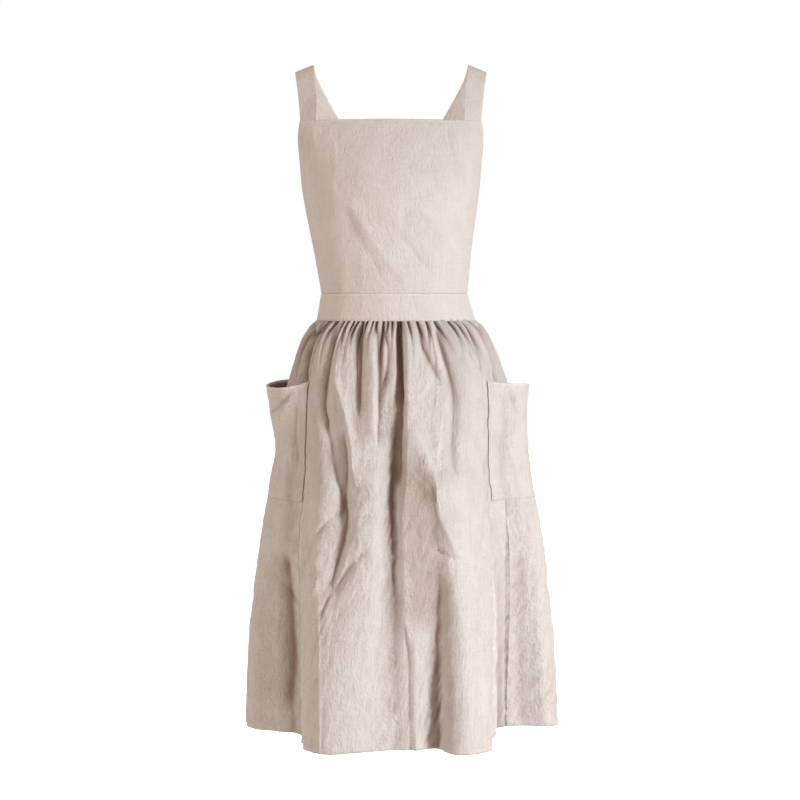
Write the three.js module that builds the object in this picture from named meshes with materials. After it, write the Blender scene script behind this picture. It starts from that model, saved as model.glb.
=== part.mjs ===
// A cross back apron: a bib, a waistband, a gathered skirt with a pocket at each side,
// and two straps that go over the shoulders and cross at the back.
// Lengths are in millimetres and Z is up. The front faces -Y and +X is at its right.
// The origin is midway between the straps where they pass over the shoulders.

import * as THREE from 'three';

// Walls of cloth, and the clearance that is kept between two pieces
const clothWall = 1.2;
const bandWall = 2.4;
const strapWall = 2.0;
const seamGap = 0.3;

// Bib: folds fade out over bibFoldMargin of its width and height, and bibTopFlatness is the
// length of its top edge as a share of a round one's
const bibDrop = 89;
const bibHeight = 270;
const bibWidth = 286;
const bibSideTurn = 97;
const bibFoldDepth = 4;
const bibFoldMargin = 0.125;
const bibTopFlatness = 0.8;
const chestWidth = 282;
const chestFront = 117;

// Waistband, whose two ends stand apart at the back
const bandHeight = 43.5;
const bandTopWidth = 233;
const bandFlare = 21;
const bandDepthFlare = 5.25;
const bandFront = 93;
const bandBack = 80;
const backGap = 104;

// Skirt
const skirtLength = 659;
const hemWidth = 501;
const hemFront = 178;
const hemBack = 152;
const hipDrop = 284;
const hemTurnUp = 18;
const sideSway = 17.5;
const gatherDepth = 5;

// Pockets
const pocketDrop = 95;
const pocketHeight = 190;
const pocketGape = 34;

// Straps
const strapWidth = 32;
const strapSpread = 277;
const strapTail = 28;
const strapEndTail = 30;
const strapBackDepth = 108;
const strapCrossLift = 3.6;
const strapEase = 0.9;

// How finely the solids are faceted
const columnsPerGather = 2;
const bibColumns = 24;
const bibRows = 14;
const bandColumns = 60;
const strapSteps = 48;
const rowsAbovePockets = 6;
const rowsAlongPockets = 5;
const rowsBelowPockets = 5;
const rowCrowding = 1.7;

// Heights that follow from the sizes above
const bibTop = -bibDrop;
const bibBottom = bibTop - bibHeight;
const bandTop = bibBottom - seamGap;
const bandBottom = bandTop - bandHeight;
const skirtTop = bandBottom - seamGap;
const skirtBottom = skirtTop - skirtLength;

const linen = { roughness: 0.92, metalness: 0, side: THREE.FrontSide };
const colours = {
  bib: 0xd9cdc6,
  waistband: 0xdccfc8,
  skirt: 0xd6c8c0,
  pocket: 0xd8cac2,
  strap: 0xd2c4bb,
};

// The centre line sways sideways below the chest: shares of the whole drop and of the sway
const swayLine = [
  { down: 0, share: 0 },
  { down: 0.19, share: 0 },
  { down: 0.34, share: 0.31 },
  { down: 0.38, share: 0.46 },
  { down: 0.65, share: 0.86 },
  { down: 1, share: 1 },
];

// Level sections of the bib: `down` is a share of its height, `wide` of half the chest's
// width and `front` of its depth, `side` how far its side edge has turned from where it is
// at the top to where it is at the waist, and `waist` how far the section is the waistband's
const bibSections = [
  { down: 0, wide: 1.18, front: 0.68, side: 0, waist: 0 },
  { down: 0.2, wide: 1.05, front: 0.86, side: 0.5, waist: 0 },
  { down: 0.42, wide: 1, front: 1, side: 0.78, waist: 0.03 },
  { down: 0.72, wide: 1, front: 1, side: 0.93, waist: 0.58 },
  { down: 1, wide: 1, front: 1, side: 1, waist: 1 },
];

// Soft folds in the bib: middle, length and width as shares of half its width and of its
// height, `lean` in degrees from upright, and depth as a share of bibFoldDepth
const bibFolds = [
  { across: -0.12, down: 0.72, length: 0.26, width: 0.09, lean: 34, depth: 1 },
  { across: 0.16, down: 0.78, length: 0.16, width: 0.07, lean: 40, depth: -0.8 },
  { across: 0.5, down: 0.66, length: 0.24, width: 0.1, lean: 36, depth: 1 },
  { across: -0.72, down: 0.2, length: 0.2, width: 0.06, lean: 0, depth: 0.6 },
  { across: 0.72, down: 0.18, length: 0.18, width: 0.06, lean: 0, depth: 0.5 },
];

// Ridges and valleys that run from the waistband to the hem, from the left back edge round
// the front to the right back edge. `gathers` counts the small gathers up to the next line,
// `turn` is its place on the waistband in degrees from the front, and the others are shares
// of the skirt's half width and depth at the hips and at the hem
const skirtLines = [
  { name: 'left_edge', gathers: 2, turn: -155, hipX: -0.32, hipY: 0.95, hemX: -0.3, hemY: 1 },
  { name: 'left_back', gathers: 3, turn: -138, hipX: -0.58, hipY: 0.86, hemX: -0.6, hemY: 0.88 },
  { name: 'left_pocket_back', gathers: 3, turn: -116, hipX: -0.89, hipY: 0.54, hemX: -0.89, hemY: 0.53 },
  { name: 'left_side', gathers: 2, turn: -90, hipX: -1, hipY: 0.06, hemX: -1, hemY: 0.04 },
  { name: 'left_hollow', gathers: 2, turn: -72, hipX: -0.88, hipY: -0.23, hemX: -0.81, hemY: -0.2 },
  { name: 'left_seam', gathers: 3, turn: -57, hipX: -0.72, hipY: -0.45, hemX: -0.64, hemY: -0.37 },
  { name: 'left_corner', gathers: 3, turn: -46, hipX: -0.59, hipY: -0.72, hemX: -0.6, hemY: -0.84 },
  { name: 'left_ridge', gathers: 3, turn: -31, hipX: -0.4, hipY: -0.82, hemX: -0.47, hemY: -1 },
  { name: 'middle_ridge', gathers: 2, turn: -14, hipX: -0.2, hipY: -0.94, hemX: -0.28, hemY: -0.96 },
  { name: 'deep_valley', gathers: 1, turn: 0, hipX: -0.06, hipY: -0.83, hemX: -0.06, hemY: -0.88 },
  { name: 'sharp_ridge', gathers: 3, turn: 6, hipX: 0.02, hipY: -0.94, hemX: 0.03, hemY: -0.9 },
  { name: 'wide_valley', gathers: 2, turn: 22, hipX: 0.24, hipY: -0.87, hemX: 0.22, hemY: -0.83 },
  { name: 'right_ridge', gathers: 1, turn: 33, hipX: 0.39, hipY: -0.86, hemX: 0.33, hemY: -1 },
  { name: 'right_shoulder', gathers: 2, turn: 39, hipX: 0.52, hipY: -0.72, hemX: 0.49, hemY: -0.94 },
  { name: 'right_corner', gathers: 3, turn: 47, hipX: 0.6, hipY: -0.55, hemX: 0.55, hemY: -0.72 },
  { name: 'right_pocket_front', gathers: 1, turn: 58, hipX: 0.67, hipY: -0.35, hemX: 0.6, hemY: -0.08 },
  { name: 'right_seam', gathers: 2, turn: 68, hipX: 0.78, hipY: -0.18, hemX: 0.68, hemY: -0.01 },
  { name: 'right_hollow', gathers: 2, turn: 82, hipX: 0.91, hipY: -0.09, hemX: 0.82, hemY: 0.01 },
  { name: 'right_side', gathers: 3, turn: 96, hipX: 1.01, hipY: 0.12, hemX: 1, hemY: 0.03 },
  { name: 'right_pocket_back', gathers: 3, turn: 118, hipX: 0.88, hipY: 0.57, hemX: 0.89, hemY: 0.54 },
  { name: 'right_back', gathers: 2, turn: 140, hipX: 0.56, hipY: 0.87, hemX: 0.59, hemY: 0.89 },
  { name: 'right_edge', gathers: 0, turn: 155, hipX: 0.3, hipY: 0.95, hemX: 0.28, hemY: 1 },
];

// How far each gather stands out, as shares of gatherDepth, over and over. It starts with a
// share of that at the waistband, swells over gatherSwell of the skirt's length and then fades
const gatherPattern = [1, 0.55, 0.85, 0.45, 1.1, 0.7, 0.95];
const gatherStart = 0.25;
const gatherSwell = 0.03;
const gatherReach = 0.14;

// The skirt puffs out under the waistband and then spreads to the hem
const puffShare = 0.2;
const puffReach = 0.045;
const spreadPower = 1.75;

// The right strap's route past the bib's top edge: `across` is a share of half the straps'
// spread, `deep` of strapBackDepth and `down` of the drop to the waistband, and the last
// three columns say which way its outer face looks
const strapRoute = [
  { across: 0.95, deep: -0.2, down: 0.14, faceX: 0.4, faceY: -0.8, faceZ: 0.45 },
  { across: 0.985, deep: -0.01, down: 0.04, faceX: 0.38, faceY: -0.55, faceZ: 0.75 },
  { across: 1, deep: 0.17, down: 0, faceX: 0.36, faceY: 0, faceZ: 0.93 },
  { across: 0.96, deep: 0.41, down: 0.055, faceX: 0.4, faceY: 0.6, faceZ: 0.7 },
  { across: 0.77, deep: 0.69, down: 0.19, faceX: 0.4, faceY: 0.85, faceZ: 0.3 },
  { across: 0.43, deep: 0.93, down: 0.4, faceX: 0.2, faceY: 0.95, faceZ: 0.15 },
  { across: 0, deep: 1, down: 0.66, faceX: 0, faceY: 1, faceZ: 0 },
  { across: -0.29, deep: 0.8, down: 0.84, faceX: -0.25, faceY: 0.95, faceZ: -0.1 },
];

// Where each strap meets the inside of the waistband: `across` is a share of half the straps'
// spread, and `low` of the length of the end that is sewn there, down from the top edge
const strapLanding = [
  { across: 0.49, low: -0.5 },
  { across: 0.54, low: 0 },
  { across: 0.64, low: 1 },
];

const radians = THREE.MathUtils.degToRad;
const mix = THREE.MathUtils.lerp;

// A smooth curve through one column of a table, read at a place along another column
function through(rows, key, column, place) {
  const last = rows.length - 1;
  if (place <= rows[0][key]) return rows[0][column];
  if (place >= rows[last][key]) return rows[last][column];
  let i = 0;
  while (place > rows[i + 1][key]) i += 1;
  const slope = (a, b) => (rows[b][column] - rows[a][column]) / (rows[b][key] - rows[a][key]);
  const step = rows[i + 1][key] - rows[i][key];
  const t = (place - rows[i][key]) / step;
  const start = slope(Math.max(i - 1, 0), i + 1) * step;
  const end = slope(i, Math.min(i + 2, last)) * step;
  const rise = rows[i + 1][column] - rows[i][column];
  return rows[i][column] + t * (start + t * ((3 * rise - 2 * start - end) + t * (start + end - 2 * rise)));
}

function sway(z) {
  return sideSway * through(swayLine, 'down', 'share', z / skirtBottom);
}

// A point on an oval section whose centre is on the centre line, turned from the front
function ovalPoint(size, turn, z) {
  const ahead = Math.cos(turn);
  const depth = ahead > 0 ? size.front : size.back;
  return new THREE.Vector3(sway(z) + size.half * Math.sin(turn), -depth * ahead, z);
}

function bandSize(z) {
  const flare = (bandTop - z) / bandHeight;
  return {
    half: (bandTopWidth + bandFlare * flare) / 2,
    front: bandFront + bandDepthFlare * flare,
    back: bandBack + bandDepthFlare * flare,
  };
}

// The solid between two grids of points, closed round its four edges
function wallBetween(outer, inner) {
  const rows = outer.length;
  const columns = outer[0].length;
  const points = [...outer.flat(), ...inner.flat()];
  const at = (row, column) => row * columns + column;
  const behind = rows * columns;
  const faces = [];
  const quad = (a, b, c, d) => faces.push(a, b, c, a, c, d);
  for (let r = 0; r + 1 < rows; r += 1) {
    for (let c = 0; c + 1 < columns; c += 1) {
      const corners = [at(r, c), at(r + 1, c), at(r + 1, c + 1), at(r, c + 1)];
      quad(...corners);
      quad(...corners.map((corner) => corner + behind).reverse());
    }
  }
  const rim = [];
  for (let c = 0; c < columns - 1; c += 1) rim.push(at(0, c));
  for (let r = 0; r < rows - 1; r += 1) rim.push(at(r, columns - 1));
  for (let c = columns - 1; c > 0; c -= 1) rim.push(at(rows - 1, c));
  for (let r = rows - 1; r > 0; r -= 1) rim.push(at(r, 0));
  rim.forEach((corner, i) => {
    const next = rim[(i + 1) % rim.length];
    quad(corner, next, next + behind, corner + behind);
  });
  const geometry = new THREE.BufferGeometry();
  const positions = points.flatMap((point) => point.toArray());
  geometry.setAttribute('position', new THREE.Float32BufferAttribute(positions, 3));
  geometry.setIndex(faces);
  geometry.computeVertexNormals();
  return geometry;
}

function grid(rowPlaces, columnPlaces, pointAt) {
  return rowPlaces.map((row) => columnPlaces.map((column) => pointAt(column, row)));
}

function evenly(steps, from = 0, to = 1) {
  return Array.from({ length: steps + 1 }, (_, i) => mix(from, to, i / steps));
}

// The outward direction of a surface whose columns run to the right and rows run down
function outwardOf(surface, column, row, columnStep, rowStep) {
  const right = surface(column + columnStep, row).sub(surface(column - columnStep, row));
  const up = surface(column, row - rowStep).sub(surface(column, row + rowStep));
  return right.cross(up).normalize();
}

// Small steps along a surface: a share of its rows and columns, and millimetres downwards
const normalStep = 1e-3;
const levelStep = -1;

// Bib: `across` runs from -1 at the left edge to 1 at the right, `down` from 0 to 1
function bibSize(down) {
  const waist = through(bibSections, 'down', 'waist', down);
  const waistSize = bandSize(bandTop);
  const chestHalf = (chestWidth / 2) * through(bibSections, 'down', 'wide', down);
  const front = chestFront * through(bibSections, 'down', 'front', down);
  return {
    half: mix(chestHalf, waistSize.half, waist),
    front: mix(front, waistSize.front, waist),
    back: waistSize.back,
  };
}

function bibSurface(across, down) {
  const topTurn = Math.asin(bibWidth / 2 / bibSize(0).half);
  const side = through(bibSections, 'down', 'side', down);
  const turn = across * mix(topTurn, radians(bibSideTurn), side);
  return ovalPoint(bibSize(down), turn, bibTop - down * bibHeight);
}

function bibRelief(across, down) {
  const fold = (row) => {
    const x = (across - row.across) * (bibWidth / 2);
    const z = (down - row.down) * bibHeight;
    const lean = radians(row.lean);
    const along = (x * Math.sin(lean) + z * Math.cos(lean)) / (row.length * bibHeight);
    const beside = (x * Math.cos(lean) - z * Math.sin(lean)) / (row.width * bibHeight);
    return bibFoldDepth * row.depth * Math.exp(-along * along - beside * beside);
  };
  const nearEdge = Math.min(1, Math.min(down, 1 - down, 1 - Math.abs(across)) / bibFoldMargin);
  return nearEdge * bibFolds.reduce((sum, row) => sum + fold(row), 0);
}

function bibPoint(across, down, depth) {
  const outward = outwardOf(bibSurface, across, down, normalStep, normalStep);
  const lift = bibRelief(across, down) - depth;
  return bibSurface(across, down).addScaledVector(outward.setZ(0), lift);
}

function makeBib() {
  const rows = evenly(bibRows);
  const columns = evenly(bibColumns, -1, 1);
  const outer = grid(rows, columns, (across, down) => bibPoint(across, down, 0));
  const inner = grid(rows, columns, (across, down) => bibPoint(across, down, clothWall));
  return wallBetween(outer, inner);
}

// Waistband
function bandPoint(turn, z, depth) {
  const size = bandSize(z);
  const thinner = { half: size.half - depth, front: size.front - depth, back: size.back - depth };
  return ovalPoint(thinner, turn, z);
}

function bandSurface(turn, z) {
  return bandPoint(turn, z, 0);
}

const bandEndTurn = Math.PI - Math.asin(backGap / bandTopWidth);

function makeBand() {
  const rows = [bandTop, bandBottom];
  const columns = evenly(bandColumns, -bandEndTurn, bandEndTurn);
  const outer = grid(rows, columns, (turn, z) => bandPoint(turn, z, 0));
  const inner = grid(rows, columns, (turn, z) => bandPoint(turn, z, bandWall));
  return wallBetween(outer, inner);
}

// Skirt: columns are counted in gathers from the left back edge, and `down` runs from 0 to 1
let gatherCount = 0;
const skirtTable = skirtLines.map((line) => {
  const turn = radians((line.turn * THREE.MathUtils.radToDeg(bandEndTurn)) / skirtLines.at(-1).turn);
  const row = { ...line, place: gatherCount, waistX: Math.sin(turn), waistY: -Math.cos(turn) };
  gatherCount += line.gathers;
  return row;
});

function placeOf(name) {
  return skirtTable.find((row) => row.name === name).place;
}

function skirtSpread(down) {
  const puff = puffShare * (1 - Math.exp(-down / puffReach));
  return puff + (1 - puffShare) * (1 - (1 - down) ** spreadPower);
}

function skirtShare(place, down, axis) {
  const share = (level) => through(skirtTable, 'place', level + axis, place);
  const hip = hipDrop / skirtLength;
  if (down < hip) return mix(share('waist'), share('hip'), THREE.MathUtils.smoothstep(down, 0, hip));
  return mix(share('hip'), share('hem'), THREE.MathUtils.smoothstep(down, hip, 1));
}

function skirtSurface(place, down) {
  const held = THREE.MathUtils.clamp(down, 0, 1);
  const z = skirtTop - down * skirtLength;
  const size = bandSize(bandBottom);
  const spread = skirtSpread(held);
  const deep = skirtShare(place, held, 'Y');
  const depth = deep < 0 ? mix(size.front, hemFront, spread) : mix(size.back, hemBack, spread);
  const half = mix(size.half, hemWidth / 2, spread);
  return new THREE.Vector3(sway(z) + half * skirtShare(place, held, 'X'), depth * deep, z);
}

function skirtOutward(place, down) {
  const clearOfEnd = THREE.MathUtils.clamp(place, normalStep, gatherCount - normalStep);
  return outwardOf(skirtSurface, clearOfEnd, down, normalStep, normalStep).setZ(0).normalize();
}

// How far a gather's ridge stands out: nothing between ridges, most just under the waistband
function gatherRelief(place, down) {
  const column = Math.round(place * columnsPerGather);
  if (column % columnsPerGather === 0) return 0;
  const strength = gatherPattern[Math.floor(place) % gatherPattern.length];
  const swell = mix(gatherStart, 1, THREE.MathUtils.smoothstep(down, 0, gatherSwell));
  return gatherDepth * strength * swell * Math.exp(-down / gatherReach);
}

function skirtPoint(place, down, depth) {
  const lift = gatherRelief(place, down) - depth;
  return skirtSurface(place, down).addScaledVector(skirtOutward(place, down), lift);
}

const pocketTopShare = pocketDrop / skirtLength;
const pocketBottomShare = (pocketDrop + pocketHeight) / skirtLength;
const hemShare = 1 - hemTurnUp / skirtLength;
const pocketRows = evenly(rowsAlongPockets, pocketTopShare, pocketBottomShare);
const skirtRows = [
  ...evenly(rowsAbovePockets, 0, 1).slice(0, -1).map((share) => share ** rowCrowding * pocketTopShare),
  ...pocketRows,
  ...evenly(rowsBelowPockets, pocketBottomShare, hemShare).slice(1),
  1,
];

function skirtWall(down) {
  return down > hemShare ? 2 * clothWall : clothWall;
}

// One panel of the skirt, its side edges half a seam's clearance short of its neighbours'
function makeSkirtPanel(from, to) {
  const start = placeOf(from);
  const end = placeOf(to);
  const columns = evenly((end - start) * columnsPerGather, start, end);
  const trimmed = (place, down, depth) => {
    const point = skirtPoint(place, down, depth);
    if (place !== start && place !== end) return point;
    const away = place === start ? 1 : -1;
    const alongSeam = new THREE.Vector3(0, 0, 1).cross(skirtOutward(place, down)).multiplyScalar(away);
    return point.addScaledVector(alongSeam, seamGap / 2);
  };
  const outer = grid(skirtRows, columns, (place, down) => trimmed(place, down, 0));
  const inner = grid(skirtRows, columns, (place, down) => trimmed(place, down, skirtWall(down)));
  return wallBetween(outer, inner);
}

// A pocket follows the skirt's own columns and rows, clears the gathers under it, and its
// mouth stands away from the skirt
function makePocket(from, to) {
  const start = placeOf(from);
  const end = placeOf(to);
  const columns = evenly((end - start) * columnsPerGather, start, end);
  const pocketPoint = (place, down, wall) => {
    const across = (place - start) / (end - start);
    const low = (down - pocketTopShare) / (pocketBottomShare - pocketTopShare);
    const gape = pocketGape * Math.sin(Math.PI * across) * (1 - low) ** 2;
    const beside = across > 0 && across < 1 ? 1 / columnsPerGather : 0;
    const under = [-beside, 0, beside].map((step) => gatherRelief(place + step, down));
    const lift = Math.max(...under) + seamGap + gape + wall;
    return skirtSurface(place, down).addScaledVector(skirtOutward(place, down), lift);
  };
  const outer = grid(pocketRows, columns, (place, down) => pocketPoint(place, down, clothWall));
  const inner = grid(pocketRows, columns, (place, down) => pocketPoint(place, down, 0));
  return wallBetween(outer, inner);
}

// How deep an arc of that radius is under a flat band across it
function arcDepth(width, radius) {
  return width ** 2 / (8 * radius);
}

// Straps: a ribbon from inside the bib's top edge, over the shoulder, across the back and
// down inside the far end of the waistband. `side` is 1 for the right strap, -1 for the left
function strapFrames(side) {
  const inside = seamGap + strapWall / 2;
  const edgeTurn = Math.asin(bibWidth / 2 / bibSize(0).half);
  const middleShare = side * (1 - strapWidth / 2 / (edgeTurn * bibSize(0).half * bibTopFlatness));
  const onBib = (down) => {
    const outward = outwardOf(bibSurface, middleShare, down, normalStep, normalStep);
    const deeper = clothWall + inside + strapEase + arcDepth(strapWidth, chestWidth / 2);
    return { point: bibSurface(middleShare, down).addScaledVector(outward, -deeper), face: outward };
  };
  const onBand = (z, across) => {
    const behind = Math.asin((across * strapSpread) / 2 / bandSize(z).half);
    const turn = -side * (Math.PI - behind);
    const deeper = bandWall + inside + strapEase + arcDepth(strapWidth, bandBack);
    const face = outwardOf(bandSurface, turn, z, normalStep, levelStep);
    return { point: bandSurface(turn, z).addScaledVector(face, -deeper), face };
  };
  const frames = [onBib(strapTail / bibHeight), onBib(strapTail / bibHeight / 2), onBib(0)];
  for (const row of strapRoute) {
    const spread = (row.across * strapSpread) / 2;
    const crossing = row.across === 0 && side > 0 ? strapWall + strapCrossLift : 0;
    frames.push({
      point: new THREE.Vector3(side * spread, row.deep * strapBackDepth + crossing, row.down * bandTop),
      face: new THREE.Vector3(side * row.faceX, row.faceY, row.faceZ).normalize(),
    });
  }
  frames.push(...strapLanding.map((row) => onBand(bandTop - row.low * strapEndTail, row.across)));
  return frames;
}

function makeStrap(side) {
  const frames = strapFrames(side);
  const curve = new THREE.CatmullRomCurve3(frames.map((frame) => frame.point), false, 'centripetal');
  const faces = new THREE.CatmullRomCurve3(frames.map((frame) => frame.face), false, 'centripetal');
  const section = (t) => {
    const tangent = curve.getTangent(t);
    const across = tangent.clone().cross(faces.getPoint(t)).normalize();
    return { middle: curve.getPoint(t), across, outward: across.clone().cross(tangent).normalize() };
  };
  const pointAt = (edge, t, layer) => {
    const { middle, across, outward } = section(t);
    middle.addScaledVector(across, (edge * strapWidth) / 2);
    return middle.addScaledVector(outward, (layer * strapWall) / 2);
  };
  const rows = evenly(strapSteps);
  const edges = [1, -1];
  return wallBetween(
    grid(rows, edges, (edge, t) => pointAt(edge, t, 1)),
    grid(rows, edges, (edge, t) => pointAt(edge, t, -1)),
  );
}

const apron = new THREE.Group();

function add(name, geometry, colour) {
  const mesh = new THREE.Mesh(geometry, new THREE.MeshStandardMaterial({ color: colour, ...linen }));
  mesh.name = name;
  apron.add(mesh);
}

add('bib', makeBib(), colours.bib);
add('waistband', makeBand(), colours.waistband);
add('skirt_left', makeSkirtPanel('left_edge', 'left_seam'), colours.skirt);
add('skirt_front', makeSkirtPanel('left_seam', 'right_seam'), colours.skirt);
add('skirt_right', makeSkirtPanel('right_seam', 'right_edge'), colours.skirt);
add('pocket_left', makePocket('left_pocket_back', 'left_seam'), colours.pocket);
add('pocket_right', makePocket('right_pocket_front', 'right_pocket_back'), colours.pocket);
add('strap_left', makeStrap(-1), colours.strap);
add('strap_right', makeStrap(1), colours.strap);

export default apron;
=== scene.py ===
# %% [markdown]
# # A cross back apron in washed linen
# The apron hangs as it is worn: a bib on two straps, a waistband, and a gathered skirt with a
# pocket at each side. Every piece is a thin sheet of the same cloth, so one helper makes them
# all: a grid of points for the outer face, and a second grid a wall's thickness behind it.
# The fixed model gives where each piece is, and this script gives the cloth its folds.

# %% The fixed model
import math

import bpy
import numpy as np
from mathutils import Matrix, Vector


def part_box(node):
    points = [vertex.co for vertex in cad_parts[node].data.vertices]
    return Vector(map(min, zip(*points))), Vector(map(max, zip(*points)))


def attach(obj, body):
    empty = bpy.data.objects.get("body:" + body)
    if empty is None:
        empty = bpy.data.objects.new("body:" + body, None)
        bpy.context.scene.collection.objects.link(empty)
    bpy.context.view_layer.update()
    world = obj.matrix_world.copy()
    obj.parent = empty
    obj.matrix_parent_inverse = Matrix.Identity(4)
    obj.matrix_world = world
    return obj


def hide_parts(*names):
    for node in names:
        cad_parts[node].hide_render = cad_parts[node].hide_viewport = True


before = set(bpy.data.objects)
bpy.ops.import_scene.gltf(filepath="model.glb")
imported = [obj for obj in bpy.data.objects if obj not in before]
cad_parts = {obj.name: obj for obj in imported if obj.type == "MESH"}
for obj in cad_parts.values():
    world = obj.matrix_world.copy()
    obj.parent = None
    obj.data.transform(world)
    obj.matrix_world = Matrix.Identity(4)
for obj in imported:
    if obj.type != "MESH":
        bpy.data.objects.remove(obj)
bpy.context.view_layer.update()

# %% [markdown]
# ## Camera
# The apron is seen from the front by a long lens, from a little above the waist. The camera
# comes first, because the folds are drawn where that view shows them: a fold is a line of
# columns and rows in a picture of 800 by 800, and the cloth under it is pushed in or out. One
# pixel is 1.55 mm of cloth at the front of the waist, which is what sets the lens.

# %% The camera and where a point lands in the picture
PICTURE = 800
PIXEL_AT_FRONT = 0.00155
CAMERA_DISTANCE = 2.8
FRONT_DEPTH = -0.1
CAMERA_HEIGHT = -0.37
MIDDLE_COLUMN = 391
LEVEL_ROW = 300
SENSOR_WIDTH = 36

focal_pixels = CAMERA_DISTANCE / PIXEL_AT_FRONT
camera_place = Vector((0, FRONT_DEPTH - CAMERA_DISTANCE, CAMERA_HEIGHT))
ahead = Vector((
    (PICTURE / 2 - MIDDLE_COLUMN) / focal_pixels,
    1,
    -(PICTURE / 2 - LEVEL_ROW) / focal_pixels,
)).normalized()
to_right = ahead.cross(Vector((0, 0, 1))).normalized()
to_top = to_right.cross(ahead)

camera_data = bpy.data.cameras.new("front_camera")
camera_data.sensor_width = SENSOR_WIDTH
camera_data.lens = SENSOR_WIDTH * focal_pixels * ahead.y / PICTURE
camera = bpy.data.objects.new("front_camera", camera_data)
camera.location = camera_place
camera.rotation_euler = ahead.to_track_quat("-Z", "Y").to_euler()
bpy.context.collection.objects.link(camera)
bpy.context.scene.camera = camera
lens_pixels = camera_data.lens / SENSOR_WIDTH * PICTURE
print("lens", round(camera_data.lens, 1), "mm")


def picture_place(points):
    """Column and row of the picture for an array of points."""
    offset = points - np.array(camera_place)
    deep = offset @ np.array(ahead)
    column = PICTURE / 2 + lens_pixels * (offset @ np.array(to_right)) / deep
    row = PICTURE / 2 - lens_pixels * (offset @ np.array(to_top)) / deep
    return column, row

# %% [markdown]
# ## Studio
# A plain pale floor lies well below the hem. It glows white to the camera alone, which keeps
# the ground of the picture clean. The light is soft: a cool key lamp from the front right
# models the folds, a warm lamp from the left lifts what the key misses, and a third lights the
# back for views from behind. A warm dim surround fills the shadows, which is how pale cloth
# gets its brown tones.

# %% The floor
FLOOR_HEIGHT = -1.75
FLOOR_RADIUS = 14
WHITE = (1, 1, 1, 1)
PALE_GREY = (0.9, 0.9, 0.9, 1)


def make_floor():
    bpy.ops.mesh.primitive_circle_add(vertices=96, radius=FLOOR_RADIUS, fill_type="NGON")
    floor = bpy.context.object
    floor.name = "floor"
    floor.location.z = FLOOR_HEIGHT
    paint = bpy.data.materials.new("floor_paint")
    paint.use_nodes = True
    shader = paint.node_tree.nodes["Principled BSDF"]
    shader.inputs["Base Color"].default_value = PALE_GREY
    shader.inputs["Roughness"].default_value = 0.9
    shader.inputs["Specular IOR Level"].default_value = 0.1
    shader.inputs["Emission Color"].default_value = WHITE
    seen = paint.node_tree.nodes.new("ShaderNodeLightPath").outputs["Is Camera Ray"]
    paint.node_tree.links.new(seen, shader.inputs["Emission Strength"])
    floor.data.materials.append(paint)


make_floor()

# %% The surround
GLOW_COLOUR = (1, 0.85, 0.735, 1)
GLOW_STRENGTH = 0.39


def make_surround():
    """White to the camera, and a warm glow to everything that it lights."""
    world = bpy.data.worlds.new("studio")
    bpy.context.scene.world = world
    world.use_nodes = True
    nodes, links = world.node_tree.nodes, world.node_tree.links
    nodes.clear()
    seen, glow = nodes.new("ShaderNodeBackground"), nodes.new("ShaderNodeBackground")
    seen.inputs["Color"].default_value = WHITE
    glow.inputs["Color"].default_value = GLOW_COLOUR
    glow.inputs["Strength"].default_value = GLOW_STRENGTH
    path, choose = nodes.new("ShaderNodeLightPath"), nodes.new("ShaderNodeMixShader")
    out = nodes.new("ShaderNodeOutputWorld")
    links.new(path.outputs["Is Camera Ray"], choose.inputs["Fac"])
    links.new(glow.outputs[0], choose.inputs[1])
    links.new(seen.outputs[0], choose.inputs[2])
    links.new(choose.outputs[0], out.inputs["Surface"])
    print("surround", world.name, "strength", GLOW_STRENGTH)


make_surround()

# %% [markdown]
# Each lamp is a disk that aims at the skirt. A lamp with a narrow spread sends its light
# forward, so it needs far less power, and its shadows are crisper: that is the key.

# %% The lamps
LAMP_AIM = Vector((0, 0, -0.85))
LAMPS = {
    "key": {"place": (2.6, -2.38, -0.15), "size": 0.7, "power": 28, "colour": (0.92, 0.97, 1), "spread": 90},
    "side": {"place": (-2.8, -1.2, 0.3), "size": 0.7, "power": 30, "colour": (1, 0.9, 0.82), "spread": 180},
    "back": {"place": (0.7, 3.2, 0.5), "size": 1.2, "power": 50, "colour": (1, 0.96, 0.92), "spread": 180},
}


def make_lamp(name, place, size, power, colour, spread):
    data = bpy.data.lights.new(name, "AREA")
    data.shape = "DISK"
    data.size = size
    data.energy = power
    data.color = colour
    data.spread = math.radians(spread)
    lamp = bpy.data.objects.new(name, data)
    lamp.location = place
    lamp.rotation_euler = (LAMP_AIM - Vector(place)).to_track_quat("-Z", "Y").to_euler()
    bpy.context.collection.objects.link(lamp)


for name, lamp in LAMPS.items():
    make_lamp(name, **lamp)
bpy.context.scene.view_settings.view_transform = "Standard"
print(len(LAMPS), "lamps")

# %% [markdown]
# ## Linen
# Washed linen is a plain weave of uneven threads. Three things tell it from painted card: the
# fine crossing threads, slubs that run along single threads as slightly darker or lighter
# streaks, and a soft crumple from washing. They live in a shader node group, measured in metres
# of cloth through the UV map, and each material places it with its own values. The group also
# takes two masks that the sheets carry, both painted light. The first, hollow, mixes the cloth
# with a deep warm brown as painted shade, for the bottoms of folds where little light comes. The
# second mixes it with a paler tone as painted highlight, along edges, rims and seam ridges.

# %% What the weave is made of
# Lumps of noise in one metre of cloth, along its width and its length.
LONG_STREAKS = (520, 16)
CROSS_STREAKS = (24, 560)
MOTTLE = (38, 30)
GRAIN = (430, 430)
CRINKLES = (225, 80)
FINE_CRINKLES = (420, 190)
CREASES = (34, 20)
THREAD_SWAY = (90, 90)
# Heights in metres.
THREAD_HEIGHT = 0.00006
SLUB_HEIGHT = 0.00022
CRINKLE_HEIGHT = 0.0014
FINE_CRINKLE_HEIGHT = 0.0009
CREASE_HEIGHT = 0.00035
CREASE_WIDTH_RISE = 9
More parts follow.
